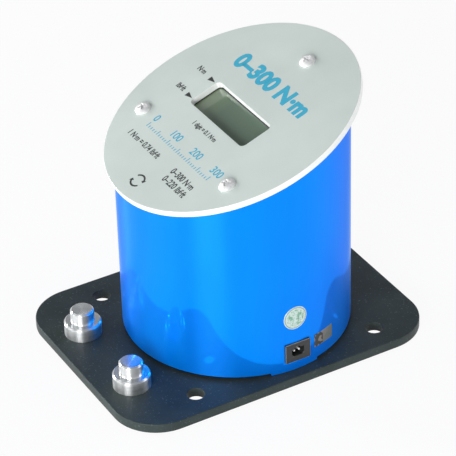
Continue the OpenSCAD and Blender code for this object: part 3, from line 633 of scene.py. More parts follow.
@dataclass(frozen=True)
class CircuitBoard(Finish):
    """Solder resist over copper tracks."""

    slot: str = "circuit_board"
    resist: Colour = srgb(18, 84, 52)
    track: Colour = srgb(38, 122, 74)
    pitch: float = 1.9

    def build(self) -> bpy.types.Material:
        """Makes green resist with tracks that show as lighter ridges.

        Returns:
            The material.
        """
        kit = ShaderKit(self.slot)
        cells = kit.add("ShaderNodeTexBrick", {"offset": 0.5, "squash": 1.0}, {
            "Vector": kit.place, "Scale": 1 / (self.pitch * MM), "Mortar Size": 0.09,
            "Mortar Smooth": 0.1, "Brick Width": 2.4, "Row Height": 0.7})
        ridge = kit.term(cells, "Fac")
        return kit.close({
            "Base Color": kit.mix(ridge, self.resist, self.track),
            "Roughness": kit.spread(kit.noise(500.0), 0.26, 0.36),
            "Normal": kit.bump(ridge, 0.04, 0.6)})


@dataclass(frozen=True)
class RoundLabel(Finish):
    """Foil label with a printed ring and a mottled green middle."""

    slot: str = "seal_label"
    foil: Colour = srgb(196, 216, 208)
    tint: Colour = srgb(62, 152, 112)
    line: Colour = srgb(120, 130, 120)
    middle: tuple[float, float, float] = (0, 0, 0)
    radius: float = 7.5

    def build(self) -> bpy.types.Material:
        """Makes a satin foil whose print lies in rings about the middle.

        Returns:
            The material.
        """
        kit = ShaderKit(self.slot)
        flat = kit.vector_math("MULTIPLY", {0: kit.centred(self.middle), 1: (0, 1, 1)})
        reach = kit.term(kit.vector_math("LENGTH", {0: kit.term(flat)}), "Value") / (self.radius * MM)
        rim = (reach > 0.86) * (reach < 0.93)
        mottle = kit.span(kit.noise(420.0, 3.0, 0.6), 0.47, 0.58) * (reach < 0.72)
        ground = kit.mix(mottle * 0.75, self.foil, self.tint)
        fine = kit.noise(700.0, 2.0, 0.6, kit.centred(self.middle, scale=(1, 1, 2.2)))
        grey = kit.span(fine, 0.56, 0.64)
        printed = kit.mix(grey * (reach < 0.78) * 0.6, ground, self.line)
        return kit.close({
            "Base Color": kit.mix(rim * 0.75, printed, self.line), "Metallic": 0.15,
            "Roughness": kit.spread(kit.noise(900.0), 0.24, 0.34),
            "Normal": kit.bump(kit.noise(300.0, 2.0), 0.03, 0.5)})


@dataclass(frozen=True)
class FoilLabel(Finish):
    """Grey foil of the small label, with dark blots on one half."""

    slot: str = "tag_label"
    colour: Colour = srgb(116, 128, 122)
    warm: Colour = srgb(150, 134, 134)
    blot: Colour = srgb(30, 44, 40)
    print_edge: float = -0.8
    middle: tuple[float, float, float] = (0, 0, 0)

    def build(self) -> bpy.types.Material:
        """Makes a dull foil with soft wrinkles and blots.

        Returns:
            The material.
        """
        kit = ShaderKit(self.slot)
        cloud = kit.noise(200.0, 3.0, 0.6)
        printed = kit.part(kit.centred(self.middle), "Y") < self.print_edge * MM
        ground = kit.mix(kit.span(cloud, 0.4, 0.7) * 0.6 + printed * 0.4, self.colour, self.warm)
        blots = kit.span(kit.noise(430.0, 1.0, 0.4), 0.47, 0.54) * printed
        return kit.close({
            "Base Color": kit.mix(blots * 0.85, ground, self.blot), "Metallic": 0.4,
            "Roughness": kit.spread(kit.noise(1500.0), 0.34, 0.46),
            "Normal": kit.bump(cloud, 0.04, 0.6)})


BRIGHT_SCREW = WorkedMetal("bright_screw", srgb(250, 250, 250), 0.34, 500.0, metallic=0.5)
ZINC_STEEL = WorkedMetal("zinc_steel", srgb(176, 178, 176), 0.3, 700.0)
BLACK_PLASTIC = Moulded("black_plastic", srgb(34, 35, 36), 0.36)
# Lighter grey copy of the black plastic: a painted highlight for the inlet bezel's rounded rim.
EDGE_HIGHLIGHT_PLASTIC = Moulded("black_plastic", srgb(112, 118, 118), 0.2)
GASKET_RUBBER = Moulded("gasket_rubber", srgb(16, 20, 20), 0.6)


class Palette:
    """Builds each finish once and hands out its material."""

    def __init__(self) -> None:
        """Starts empty."""
        self._made: dict[Finish, bpy.types.Material] = {}

    def get(self, finish: Finish) -> bpy.types.Material:
        """Gives the material of a finish, made when first asked for.

        Args:
            finish: The finish.

        Returns:
            Its material.
        """
        if finish not in self._made:
            self._made[finish] = finish.build()
        return self._made[finish]


PALETTE = Palette()


def polar(centre: Sequence[float], radius: float, angle: float) -> Vector:
    """Gives the point at a radius and an angle about a centre in the plane."""
    return Vector((centre[0] + radius * math.cos(angle), centre[1] + radius * math.sin(angle)))


def softened(corners: Sequence[Corner], steps: int = 4, closed: bool = False) -> Loop:
    """Rounds the corners of an outline.

    Args:
        corners: Each corner's two places and its fillet radius.
        steps: Steps in each fillet.
        closed: Whether the first and last corners are rounded too.

    Returns:
        The outline's points.
    """
    path: Loop = []
    count = len(corners)
    for i, (x, y, radius) in enumerate(corners):
        here = Vector((x, y))
        if radius <= 0 or (not closed and i in (0, count - 1)):
            path.append(here)
            continue
        back = (Vector(corners[i - 1][:2]) - here).normalized()
        ahead = (Vector(corners[(i + 1) % count][:2]) - here).normalized()
        half = back.angle(ahead) / 2
        centre = here + (back + ahead).normalized() * (radius / math.sin(half))
        start = here + back * (radius / math.tan(half)) - centre
        end = here + ahead * (radius / math.tan(half)) - centre
        first = math.atan2(start.y, start.x)
        sweep = math.remainder(math.atan2(end.y, end.x) - first, math.tau)
        path += [polar(centre, radius, first + sweep * k / steps) for k in range(steps + 1)]
    return path


def circle(centre: Sequence[float], radius: float, count: int = 48) -> Loop:
    """Gives the points of a circle."""
    return [polar(centre, radius, math.tau * k / count) for k in range(count)]


def rounded_rectangle(centre: Sequence[float], width: float, length: float, radius: float,
                      steps: int = 12) -> Loop:
    """Gives the points of a rectangle with round corners.

    Args:
        centre: Its middle.
        width: Its width.
        length: Its length.
        radius: The radius of its corners.
        steps: Steps in each corner.

    Returns:
        The points, counter-clockwise.
    """
    points: Loop = []
    for turn, (i, j) in enumerate(((1, 1), (-1, 1), (-1, -1), (1, -1))):
        middle = (centre[0] + i * (width / 2 - radius), centre[1] + j * (length / 2 - radius))
        start = turn * math.pi / 2
        points += [polar(middle, radius, start + math.pi / 2 * k / steps) for k in range(steps + 1)]
    return points


def round_outline(centre: Sequence[float], radius: float, count: int = 48) -> Outline:
    """Gives a circle's outline for each inset."""
    return lambda inset: circle(centre, radius - inset, count)


def rectangle_outline(width: float, length: float, radius: float, centre: Sequence[float] = (0, 0),
                      steps: int = 12, follow: float = 0.0) -> Outline:
    """Gives a round-cornered rectangle's outline for each inset.

    Args:
        width: Its width.
        length: Its length.
        radius: The radius of its corners.
        centre: Its middle.
        steps: Steps in each corner.
        follow: How far the corner radius shrinks with the inset.

    Returns:
        The outline.
    """
    return lambda inset: rounded_rectangle(
        centre, width - 2 * inset, length - 2 * inset, radius - follow * inset, steps)


def edge_section(thickness: float, bevel: float, steps: int = 3) -> Section:
    """Gives the loops round a slab with rounded edges.

    Args:
        thickness: The slab's thickness.
        bevel: The radius of its edges.
        steps: Steps in each edge.

    Returns:
        The inset and the height of each loop, from the top down.
    """
    section = []
    for k in range(steps + 1):
        angle = math.pi / 2 * k / steps
        section.append((bevel * (1 - math.sin(angle)), -bevel * (1 - math.cos(angle))))
    return section + [(inset, -thickness - height) for inset, height in reversed(section)]


def hole_section(thickness: float, bevel: float) -> Section:
    """Gives the loops round a hole with rounded edges, from the top down."""
    return [(-inset, height) for inset, height in edge_section(thickness, bevel, 2)]


def new_object(name: str, data: bpy.types.ID) -> bpy.types.Object:
    """Links a new object.

    Args:
        name: Its name.
        data: Its mesh, curve, lamp or camera.

    Returns:
        The object.
    """
    made = bpy.data.objects.new(name, data)
    bpy.context.scene.collection.objects.link(made)
    return made


def new_mesh(name: str, points: Sequence[Sequence[float]],
             faces: Sequence[Sequence[int]] = ()) -> bpy.types.Mesh:
    """Makes a mesh.

    Args:
        name: Its name.
        points: Its points in millimetres.
        faces: The points of each face.

    Returns:
        The mesh in metres.
    """
    mesh = bpy.data.meshes.new(name)
    mesh.from_pydata([Vector(point) * MM for point in points], [], faces)
    return mesh


def moved(x: float, y: float, z: float) -> Matrix:
    """Gives a move by millimetres."""
    return Matrix.Translation(Vector((x, y, z)) * MM)


@contextmanager
def editing(mesh: bpy.types.Mesh) -> Iterator[bmesh.types.BMesh]:
    """Opens a mesh for editing and writes it back.

    Args:
        mesh: The mesh.

    Yields:
        Its editable form.
    """
    work = bmesh.new()
    work.from_mesh(mesh)
    yield work
    work.to_mesh(mesh)
    work.free()


def baked(holder: bpy.types.Object) -> bpy.types.Mesh:
    """Turns an object with its modifiers into a plain mesh and removes the object.

    Args:
        holder: The object.

    Returns:
        The mesh.
    """
    bpy.context.view_layer.update()
    graph = bpy.context.evaluated_depsgraph_get()
    mesh = bpy.data.meshes.new_from_object(holder.evaluated_get(graph), depsgraph=graph)
    bpy.data.objects.remove(holder)
    return mesh


def shade(mesh: bpy.types.Mesh) -> None:
    """Shades a mesh smooth between its sharp edges."""
    mesh.shade_smooth()
    mesh.set_sharp_from_angle(angle=SHARP_ANGLE)


def tidy(mesh: bpy.types.Mesh) -> None:
    """Welds a mesh, turns its faces outwards and shades it.

    Args:
        mesh: The mesh.
    """
    with editing(mesh) as work:
        bmesh.ops.remove_doubles(work, verts=work.verts, dist=WELD)
        bmesh.ops.dissolve_degenerate(work, edges=work.edges, dist=WELD / 10)
        bmesh.ops.recalc_face_normals(work, faces=work.faces)
    shade(mesh)


def coat(mesh: bpy.types.Mesh, material: bpy.types.Material) -> None:
    """Gives a mesh one material in place of those that it has."""
    mesh.materials.clear()
    mesh.materials.append(material)


def carve(piece: bpy.types.Mesh, cutter: bpy.types.Mesh, material: bpy.types.Material) -> bpy.types.Mesh:
    """Cuts one closed mesh out of another.

    Args:
        piece: The mesh that is cut.
        cutter: The mesh that is taken away.
        material: What the result is made of.

    Returns:
        The cut mesh.
    """
    whole, tool = new_object("whole", piece), new_object("tool", cutter)
    cut = whole.modifiers.new("cut", "BOOLEAN")
    cut.operation, cut.solver, cut.object = "DIFFERENCE", "EXACT", tool
    result = baked(whole)
    bpy.data.objects.remove(tool)
    coat(result, material)
    shade(result)
    return result


def joined(name: str, meshes: Sequence[bpy.types.Mesh], material: bpy.types.Material) -> bpy.types.Mesh:
    """Joins meshes of one material.

    Args:
        name: The name of the result.
        meshes: The meshes.
        material: What the result is made of.

    Returns:
        The joined mesh.
    """
    result = bpy.data.meshes.new(name)
    with editing(result) as work:
        for mesh in meshes:
            work.from_mesh(mesh)
        for face in work.faces:
            face.material_index = 0
    coat(result, material)
    return result


@dataclass
class Slab:
    """A flat plate with a rounded outer edge and holes, in millimetres, its top at z = 0."""

    outline: Outline
    section: Section
    holes: Sequence[tuple[Outline, Section]] = ()

    def mesh(self, name: str) -> bpy.types.Mesh:
        """Builds the plate.

        Args:
            name: The mesh's name.

        Returns:
            A closed mesh in metres.
        """
        points: list[Vector] = []
        faces: list[list[int]] = []
        tops, bottoms = [], []
        for outline, section in [(self.outline, self.section), *self.holes]:
            loops = []
            for inset, height in section:
                loop = outline(inset)
                loops.append(range(len(points), len(points) + len(loop)))
                points += [Vector((p.x, p.y, height)) for p in loop]
            tops.append(loops[0])
            bottoms.append(loops[-1])
            for upper, lower in zip(loops, loops[1:]):
                faces += self._wall(upper, lower)
        for loops in (tops, bottoms):
            flat = [[points[i] for i in loop] for loop in loops]
            order = [i for loop in loops for i in loop]
            faces += [[order[i] for i in face] for face in tessellate_polygon(flat)]
        mesh = new_mesh(name, points, faces)
        tidy(mesh)
        return mesh

    @staticmethod
    def _wall(upper: range, lower: range) -> list[list[int]]:
        """Joins two loops with quads."""
        count = len(upper)
        return [[upper[i], upper[(i + 1) % count], lower[(i + 1) % count], lower[i]] for i in range(count)]


class GeometryTree(NodeKit):
    """A Geometry Nodes tree with named inputs that ends in a material."""

    def __init__(self, name: str) -> None:
        """Makes the tree with its geometry sockets.

        Args:
            name: The tree's name.
        """
        super().__init__(bpy.data.node_groups.new(name, "GeometryNodeTree"))
        for way in ("INPUT", "OUTPUT"):
            self.tree.interface.new_socket("Geometry", in_out=way, socket_type="NodeSocketGeometry")
        self.identifiers: dict[str, str] = {}
        self._entry = self.add("NodeGroupInput")

    def input(self, name: str, kind: str) -> Term:
        """Adds a named input.

        Args:
            name: Its name.
            kind: The last word of its socket type, such as Float.

        Returns:
            The input as a term.
        """
        socket = self.tree.interface.new_socket(name, in_out="INPUT", socket_type="NodeSocket" + kind)
        self.identifiers[name] = socket.identifier
        return self.term(self._entry, name)

    def geometry(self) -> Term:
        """Gives the geometry that comes in."""
        return self.term(self._entry, "Geometry")

    def vector(self, **parts: Term | float) -> bpy.types.NodeSocket:
        """Joins the parts of a vector, given by their axes."""
        return self.add("ShaderNodeCombineXYZ", {}, parts).outputs[0]

    def finish(self, geometry: bpy.types.Node) -> None:
        """Ends the tree: real geometry with one material.

        Args:
            geometry: The node that gives the geometry.
        """
        material = self.input("Material", "Material")
        real = self.add("GeometryNodeRealizeInstances", {}, {"Geometry": geometry.outputs[0]})
        dressed = self.add("GeometryNodeSetMaterial", {}, {
            "Geometry": real.outputs[0], "Material": material})
        self.add("NodeGroupOutput", {}, {"Geometry": dressed.outputs[0]})

    def run(self, name: str, start: bpy.types.Mesh, values: dict) -> bpy.types.Mesh:
        """Runs the tree on a mesh.

        Args:
            name: The name of the result.
            start: The geometry that goes in.
            values: A value for each named input.

        Returns:
            The result as a plain mesh.
        """
        carrier = new_object(name + "_carrier", start)
        modifier = carrier.modifiers.new(name, "NODES")
        modifier.node_group = self.tree
        for key, value in values.items():
            modifier[self.identifiers[key]] = value
        carrier.update_tag()
        result = baked(carrier)
        result.name = name
        coat(result, values["Material"])
        return result


class TurningTree(GeometryTree):
    """Turns a profile about the Z axis and trims the top with a sloping plane."""

    def __init__(self) -> None:
        """Builds the tree."""
        super().__init__("turning")
        profile = self.input("Profile", "Object")
        segments = self.input("Segments", "Int")
        trim_height = self.input("Trim Height", "Float")
        trim_slope = self.input("Trim Slope", "Float")
        source = self.add("GeometryNodeObjectInfo", {"transform_space": "ORIGINAL"}, {"Object": profile})
        line = source.outputs["Geometry"]
        size = self.add("GeometryNodeAttributeDomainSize", {"component": "MESH"}, {"Geometry": line})
        around = segments + 1.0
        grid = self.add("GeometryNodeMeshGrid", {}, {
            "Vertices X": self.term(size, "Point Count"), "Vertices Y": around})
        index = self.term(self.add("GeometryNodeInputIndex"))
        row = self.math("FLOOR", (index + 0.5) / around)
        angle = (index - row * around) / segments * math.tau
        position = self.add("GeometryNodeInputPosition").outputs[0]
        sample = self.add("GeometryNodeSampleIndex", {"data_type": "FLOAT_VECTOR", "domain": "POINT"}, {
            "Geometry": line, "Value": position, "Index": row})
        radius = self.part(sample.outputs[0], "X")
        y = radius * self.math("SINE", angle)
        z = self.math("MINIMUM", self.part(sample.outputs[0], "Z"), trim_height + y * trim_slope)
        turned = self.vector(X=radius * self.math("COSINE", angle), Y=y, Z=z)
        shaped = self.add("GeometryNodeSetPosition", {}, {
            "Geometry": grid.outputs["Mesh"], "Position": turned})
        self.finish(self.add("GeometryNodeMergeByDistance", {}, {
            "Geometry": shaped.outputs[0], "Distance": WELD}))

    def turn(self, name: str, profile: Loop, material: bpy.types.Material, segments: int = SMOOTH_TURN,
             trim: tuple[float, float] = NO_TRIM) -> bpy.types.Mesh:
        """Turns one piece.

        Args:
            name: The mesh's name.
            profile: Radius and height of each point in millimetres.
            material: What the piece is made of.
            segments: Steps round the turn.
            trim: Height of the trimming plane at the axis in millimetres, and its slope.

        Returns:
            The turned mesh, about the Z axis, in metres.
        """
        guide = new_object(name + "_profile", new_mesh(name + "_profile", [(p.x, 0, p.y) for p in profile]))
        mesh = self.run(name, bpy.data.meshes.new(name + "_start"), {
            "Profile": guide, "Segments": segments, "Trim Height": trim[0] * MM, "Trim Slope": trim[1],
            "Material": material})
        bpy.data.objects.remove(guide)
        tidy(mesh)
        return mesh


class CopyTree(GeometryTree):
    """Places a copy of a piece on each point, turned and with a random spin."""

    def __init__(self) -> None:
        """Builds the tree."""
        super().__init__("copies")
        piece = self.input("Piece", "Object")
        turn = self.input("Turn", "Vector")
        spin = self.input("Spin", "Float")
        seed = self.input("Seed", "Int")
        source = self.add("GeometryNodeObjectInfo", {"transform_space": "ORIGINAL"}, {"Object": piece})
        highest = 3
        random = self.add("FunctionNodeRandomValue", {"data_type": "FLOAT"}, {highest: spin, "Seed": seed})
        own = self.add("FunctionNodeEulerToRotation", {}, {0: self.vector(Z=random.outputs[1])})
        base = self.add("FunctionNodeEulerToRotation", {}, {0: turn})
        both = self.add("FunctionNodeRotateRotation", {"rotation_space": "LOCAL"}, {
            0: base.outputs[0], 1: own.outputs[0]})
        self.finish(self.add("GeometryNodeInstanceOnPoints", {}, {
            "Points": self.geometry(), "Instance": source.outputs["Geometry"],
            "Rotation": both.outputs[0]}))

    def place(self, name: str, piece: bpy.types.Mesh, places: Sequence[Sequence[float]],
              material: bpy.types.Material, turn: Sequence[float] = (0, 0, 0),
              spin: float = 0.0) -> bpy.types.Mesh:
        """Places the copies.

        Args:
            name: The mesh's name.
            piece: The mesh to copy.
            places: The copies' places in millimetres.
            material: What the copies are made of.
            turn: Euler angles of every copy.
            spin: The largest random turn about the copy's own Z axis.

        Returns:
            One mesh with all copies.
        """
        holder = new_object(name + "_source", piece)
        mesh = self.run(name, new_mesh(name + "_places", places), {
            "Piece": holder, "Turn": turn, "Spin": spin, "Seed": SEED, "Material": material})
        bpy.data.objects.remove(holder)
        tidy(mesh)
        return mesh


class MarkTree(GeometryTree):
    """Sets a row of printed marks, every so many of them longer."""

    def __init__(self) -> None:
        """Builds the tree."""
        super().__init__("mark_row")
        count = self.input("Count", "Int")
        pitch, width, height = (self.input(name, "Float") for name in ("Pitch", "Width", "Height"))
        every = self.input("Every", "Int")
        growth = self.input("Growth", "Float")
        line = self.add("GeometryNodeMeshLine", {"mode": "OFFSET"}, {
            "Count": count, "Offset": self.vector(X=pitch)})
        mark = self.add("GeometryNodeMeshCube", {}, {"Size": self.vector(X=width, Y=height, Z=INK_T * MM)})
        seated = self.add("GeometryNodeTransform", {}, {
            "Geometry": mark.outputs["Mesh"], "Translation": self.vector(Y=height * 0.5)})
        index = self.term(self.add("GeometryNodeInputIndex"))
        is_long = self.math("MODULO", index, every) < 0.5
        self.finish(self.add("GeometryNodeInstanceOnPoints", {}, {
            "Points": line.outputs["Mesh"], "Instance": seated.outputs[0],
            "Scale": self.vector(X=1.0, Y=1.0 + is_long * growth, Z=1.0)}))


def place_piece(name: str, mesh: bpy.types.Mesh, body: Body, finish: Finish,
                replaced: Sequence[str] = ()) -> bpy.types.Object:
    """Links a finished mesh as a piece of the model.

    Args:
        name: The piece's name.
        mesh: Its mesh, in place.
        body: The body it rides on.
        finish: Its finish.
        replaced: The frame's nodes that it stands for.

    Returns:
        The piece.
    """
    piece = new_object(name, mesh)
    if len(mesh.materials) == 0:
        mesh.materials.append(PALETTE.get(finish))
    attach(piece, body.value)
    if replaced:
        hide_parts(*replaced)
    LOG.info("%s: %d faces on %s", name, len(mesh.polygons), body.value)
    return piece


def even_normals(piece: bpy.types.Object) -> None:
    """Keeps a piece's large flats flat beside its rounded edges."""
    piece.modifiers.new("even_normals", "WEIGHTED_NORMAL").keep_sharp = True


@dataclass
class Layout:
    """Places that the sub-assemblies share, in millimetres, taken from the frame."""

    face_tilt: float = math.radians(19.7)
    face_t: float = 4.0
    stud_x: float = 30.0
    stud_y: float = -80.0
    inlet_shift: float = 1.2
    inlet_z: float = 18.9

    def __post_init__(self) -> None:
        """Reads the frame's boxes."""
        plate_low, plate_high = (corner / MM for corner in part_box("base_plate"))
        self.plate_w, self.plate_l, self.plate_t = plate_high - plate_low
        tube_low, tube_high = (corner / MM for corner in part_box("housing_tube"))
        self.tube_r = (tube_high.x - tube_low.x) / 2
        self.axis_y = (tube_high.y + tube_low.y) / 2
        face_low, face_high = (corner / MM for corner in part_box("face_plate"))
        self.face_plan_r = (face_high.x - face_low.x) / 2
        self.face_z = (face_low.z + face_high.z) / 2 + self.face_t * math.cos(self.face_tilt) / 2
        self.face = moved(0, self.axis_y, self.face_z) @ Matrix.Rotation(self.face_tilt, 4, "X")
        self.axis = moved(0, self.axis_y, 0)


@dataclass
class BasePlate:
    """The coated plate with its mounting holes and countersinks."""

    layout: Layout
    corner_r: float = 28.0
    corner_steps: int = 24
    bevel: float = 0.6
    hole_bevel: float = 0.4
    hole_x: float = 57.0
    hole_y: float = 60.0
    hole_d: float = 10.5
    shaft_hole_r: float = 15.3
    sleeve_screw_r: float = 36.025
    sleeve_screw_count: int = 6
    screw_r: float = 3.25
    sink_r: float = 6.05

    def screw_places(self) -> tuple[list[Vector], list[Vector]]:
        """Gives the countersunk holes in the underside.

        Returns:
            The places of the sleeve's screws, and those of the studs' screws.
        """
        lay = self.layout
        return (circle((0, lay.axis_y), self.sleeve_screw_r, self.sleeve_screw_count),
                [Vector((side * lay.stud_x, lay.stud_y)) for side in (-1, 1)])

    def build(self) -> None:
        """Builds the plate with all its holes."""
        lay = self.layout
        soft = hole_section(lay.plate_t, self.hole_bevel)
        deep, wide = -lay.plate_t, self.screw_r - self.sink_r
        sink = [(0, 0), (0, deep - wide), (wide, deep)]
        mounts = [(i * self.hole_x, j * self.hole_y + lay.axis_y) for i in (-1, 1) for j in (-1, 1)]
        sleeve_screws, stud_screws = self.screw_places()
        holes = [(round_outline(place, self.hole_d / 2), soft) for place in mounts]
        holes.append((round_outline((0, lay.axis_y), self.shaft_hole_r), soft))
        holes += [(round_outline(place, self.screw_r), sink) for place in sleeve_screws + stud_screws]
        outline = rectangle_outline(
            lay.plate_w, lay.plate_l, self.corner_r, steps=self.corner_steps, follow=1)
        mesh = Slab(outline, edge_section(lay.plate_t, self.bevel), holes).mesh("plate")
        mesh.transform(moved(0, 0, lay.plate_t))
        even_normals(place_piece("plate", mesh, Body.BASE, CoatedPlate(), ["base_plate"]))


@dataclass
class StudPair:
    """Two turned studs that take the reaction of the tool under test."""

    layout: Layout
    turning: TurningTree
    flange_r: float = 11.0
    flange_h: float = 8.8
    neck_r: float = 7.0
    height: float = 16.5
    chamfer: float = 1.0
    edge: float = 0.25
    undercut: float = 0.3

    def build(self) -> None:
        """Builds both studs, each with its own ring pattern on the flats."""
        lay = self.layout
        flange, neck, step, top = self.flange_r, self.neck_r, self.flange_h, self.height
        cut, edge = self.chamfer, self.edge
        profile = softened([
            (0, 0, 0), (flange, 0, edge / 2), (flange, step - cut, edge), (flange - cut, step, edge),
            (neck, step, self.undercut), (neck, top - cut, edge), (neck - cut, top, edge), (0, top, 0)])
        for side, label in ((-1, "left"), (1, "right")):
            place = moved(side * lay.stud_x, lay.stud_y, lay.plate_t)
            steel = TurnedSteel(centre=tuple(place.translation))
            mesh = self.turning.turn("stud_" + label, profile, PALETTE.get(steel))
            mesh.transform(place)
            place_piece("stud_" + label, mesh, Body.BASE, steel, ["support_studs"])


@dataclass
class Housing:
    """The turned housing tube with its running gap, tab and slanted mouth."""

    layout: Layout
    turning: TurningTree
    wall: float = 3.0
    rim_z: float = 7.8
    rim_edge: float = 0.4
    floor_t: float = 3.0
    floor_edge: float = 0.5
    hub_r: float = 48.05
    shelf_z: float = 91.0
    shoulder_h: float = 3.0
    shoulder_w: float = 5.5
    shoulder_edge: float = 0.3
    segments: int = 256
    tab_half: float = math.radians(13.0)
    tab_gap: float = 0.3
    tab_steps: int = 24
    cut_w: float = 16.6
    cut_h: float = 12.9

    def profile(self) -> Loop:
        """Gives the tube's closed section, rim first.

        Returns:
            Its points.
        """
        r, inner = self.layout.tube_r, self.layout.tube_r - self.wall
        shoulder, soft = inner - self.shoulder_w, self.shoulder_edge
        top = self.layout.face_z + r
        floor_top = self.rim_z + self.floor_t
        low = self.shelf_z - self.shoulder_h
        outline = softened([
            (self.hub_r, self.rim_z, 0), (r, self.rim_z, self.rim_edge), (r, top, 0), (inner, top, 0),
            (inner, self.shelf_z, 0), (shoulder, self.shelf_z, soft), (shoulder, low, soft),
            (inner, low - self.shoulder_w, 0), (inner, floor_top, self.floor_edge),
            (self.hub_r, floor_top, 0)])
        return outline + [outline[0]]

    def build(self) -> None:
        """Turns the tube, trims its mouth, adds the tab and cuts the inlet's seat."""
        lay = self.layout
        finish = HousingEnamel()
        enamel = PALETTE.get(finish)
        seat = lay.face_z - lay.face_t / math.cos(lay.face_tilt)
        mesh = self.turning.turn(
            "housing", self.profile(), enamel, self.segments, (seat, math.tan(lay.face_tilt)))
        opened = carve(mesh, self._seat_mesh(), enamel)
        shell = joined("housing_shell", [opened, self._tab_mesh()], enamel)
        shell.transform(lay.axis)
        place_piece("housing_shell", shell, Body.HEAD, finish, ["housing_tube"])

    def _seat_mesh(self) -> bpy.types.Mesh:
        """Makes the box that is cut out of the wall for the inlet.

        Returns:
            Its mesh.
        """
        lay = self.layout
        place = moved(lay.tube_r, lay.inlet_shift, lay.inlet_z)
        size = Matrix.Diagonal((4 * self.wall * MM, self.cut_w * MM, self.cut_h * MM, 1))
        mesh = bpy.data.meshes.new("inlet_seat")
        with editing(mesh) as work:
            bmesh.ops.create_cube(work, size=1.0, matrix=place @ size)
        return mesh

    def _tab_mesh(self) -> bpy.types.Mesh:
        """Makes the tab that closes the running gap under the inlet.

        Returns:
            Its mesh.
        """
        outer = self.layout.tube_r
        inner = outer - self.wall
        low, high = self.layout.plate_t + self.tab_gap, self.rim_z + self.rim_edge
        soft, steps = self.tab_gap / 2, self.tab_steps
        section = [(inner, low), (outer - soft, low), (outer, low + soft), (outer, high), (inner, high)]
        size = len(section)
        points, faces = [], []
        for k in range(steps + 1):
            angle = self.tab_half * (2 * k / steps - 1)
            points += [(r * math.cos(angle), r * math.sin(angle), z) for r, z in section]
        for k in range(steps):
            for i in range(size):
                a, b = k * size + i, k * size + (i + 1) % size
                faces.append([a, b, b + size, a + size])
        faces += [list(range(size)), list(range(steps * size, (steps + 1) * size))]
        mesh = new_mesh("tab", points, faces)
        tidy(mesh)
        return mesh


@dataclass
class FacePlate:
    """The slanted face plate with its window and the three domed screws."""

    layout: Layout
    turning: TurningTree
    copies: CopyTree
    edge: float = 0.35
    segments: int = 256
    window_w: float = 59.0
    window_h: float = 21.0
    window_r: float = 3.0
    window_x: float = -1.0
    screw_x: float = 48.0
    screw_low: float = -32.5
    screw_high: float = 54.0
    screw_hole_r: float = 2.75
    head_r: float = 4.75
    head_h: float = 3.0
    head_lift: float = 0.02
    dome_steps: int = 12

    def screw_places(self) -> list[tuple[float, float]]:
        """Gives the three screws' places on the face."""
        return [(-self.screw_x, self.screw_low), (self.screw_x, self.screw_low), (0, self.screw_high)]

    def window(self, steps: int, lip: float = 0.0) -> Outline:
        """Gives the window's outline, or a smaller one with a lip inside it."""
        return rectangle_outline(self.window_w - 2 * lip, self.window_h - 2 * lip, self.window_r - lip,
                                 (self.window_x, 0), steps, follow=1)

    def build(self) -> None:
        """Builds the plate and the screws."""
        lay = self.layout
        stretch = 1 / math.cos(lay.face_tilt)

        def rim(inset: float) -> Loop:
            """Gives the ellipse of the plate's edge."""
            flat = circle((0, 0), lay.face_plan_r - inset, self.segments)
            return [Vector((p.x, p.y * stretch)) for p in flat]

        holes = [(self.window(8), hole_section(lay.face_t, self.edge / 2))]
        holes += [(round_outline(place, self.screw_hole_r), [(0, 0), (0, -lay.face_t)])
                  for place in self.screw_places()]
        mesh = Slab(rim, edge_section(lay.face_t, self.edge), holes).mesh("face_sheet")
        sheet = PrintedSheet()
        for finish in (sheet, SheetEdge()):
            mesh.materials.append(PALETTE.get(finish))
        for face in mesh.polygons:
            face.material_index = int(abs(face.normal.z) < LEVEL)
        mesh.transform(lay.face)
        even_normals(place_piece("face_sheet", mesh, Body.HEAD, sheet, ["face_plate"]))
        self._build_screws()

    def _build_screws(self) -> None:
        """Builds one domed screw and places its copies on the face."""
        lay = self.layout
        metal = PALETTE.get(BRIGHT_SCREW)
        side = self.head_h / 3
        rise = self.head_h - side
        dome = (self.head_r ** 2 + rise ** 2) / (2 * rise)
        half = math.asin(self.head_r / dome)
        angles = [half * (1 - k / self.dome_steps) for k in range(1, self.dome_steps + 1)]
        arc = [Vector((dome * math.sin(a), side + rise - dome + dome * math.cos(a))) for a in angles]
        low = self.head_lift
        skirt = softened([(0, low, 0), (self.head_r, low, 0.15), (self.head_r, side, 0)])
        head = self.turning.turn("screw_head", skirt + arc, metal, 64)
        places = [lay.face @ (Vector((x, y, 0)) * MM) / MM for x, y in self.screw_places()]
        mesh = self.copies.place("face_screw_heads", carve(head, self._recess_mesh(), metal), places, metal,
                                 (lay.face_tilt, 0, 0), math.pi / 2)
        place_piece("face_screw_heads", mesh, Body.HEAD, BRIGHT_SCREW, ["face_screws"])

    def _recess_mesh(self) -> bpy.types.Mesh:
        """Makes the cross that is cut into a screw head.

        Returns:
            Its mesh.
        """
        arm, slot, depth, taper = 0.54 * self.head_r, 0.14 * self.head_r, 0.6 * self.head_h, 0.35

        def cross(inset: float) -> Loop:
            """Gives the outline of the cross.

            Args:
                inset: How much smaller it is.

            Returns:
                Its points.
            """
            a, b = arm - inset, slot - inset / 2
            quarter = [Vector((a, b)), Vector((b, b)), Vector((b, a))]
            return [Matrix.Rotation(turn * math.pi / 2, 2) @ p for turn in range(4) for p in quarter]

        return Slab(cross, [(-taper, self.head_h), (taper, self.head_h - depth)]).mesh("screw_recess")


@dataclass(frozen=True)
class Line:
    """A line of print: its words, the height of a figure, its middle, its width and its extra weight."""

    words: str
    height: float
    x: float
    y: float
    width: float = 0.82
    weight: float = 0.13


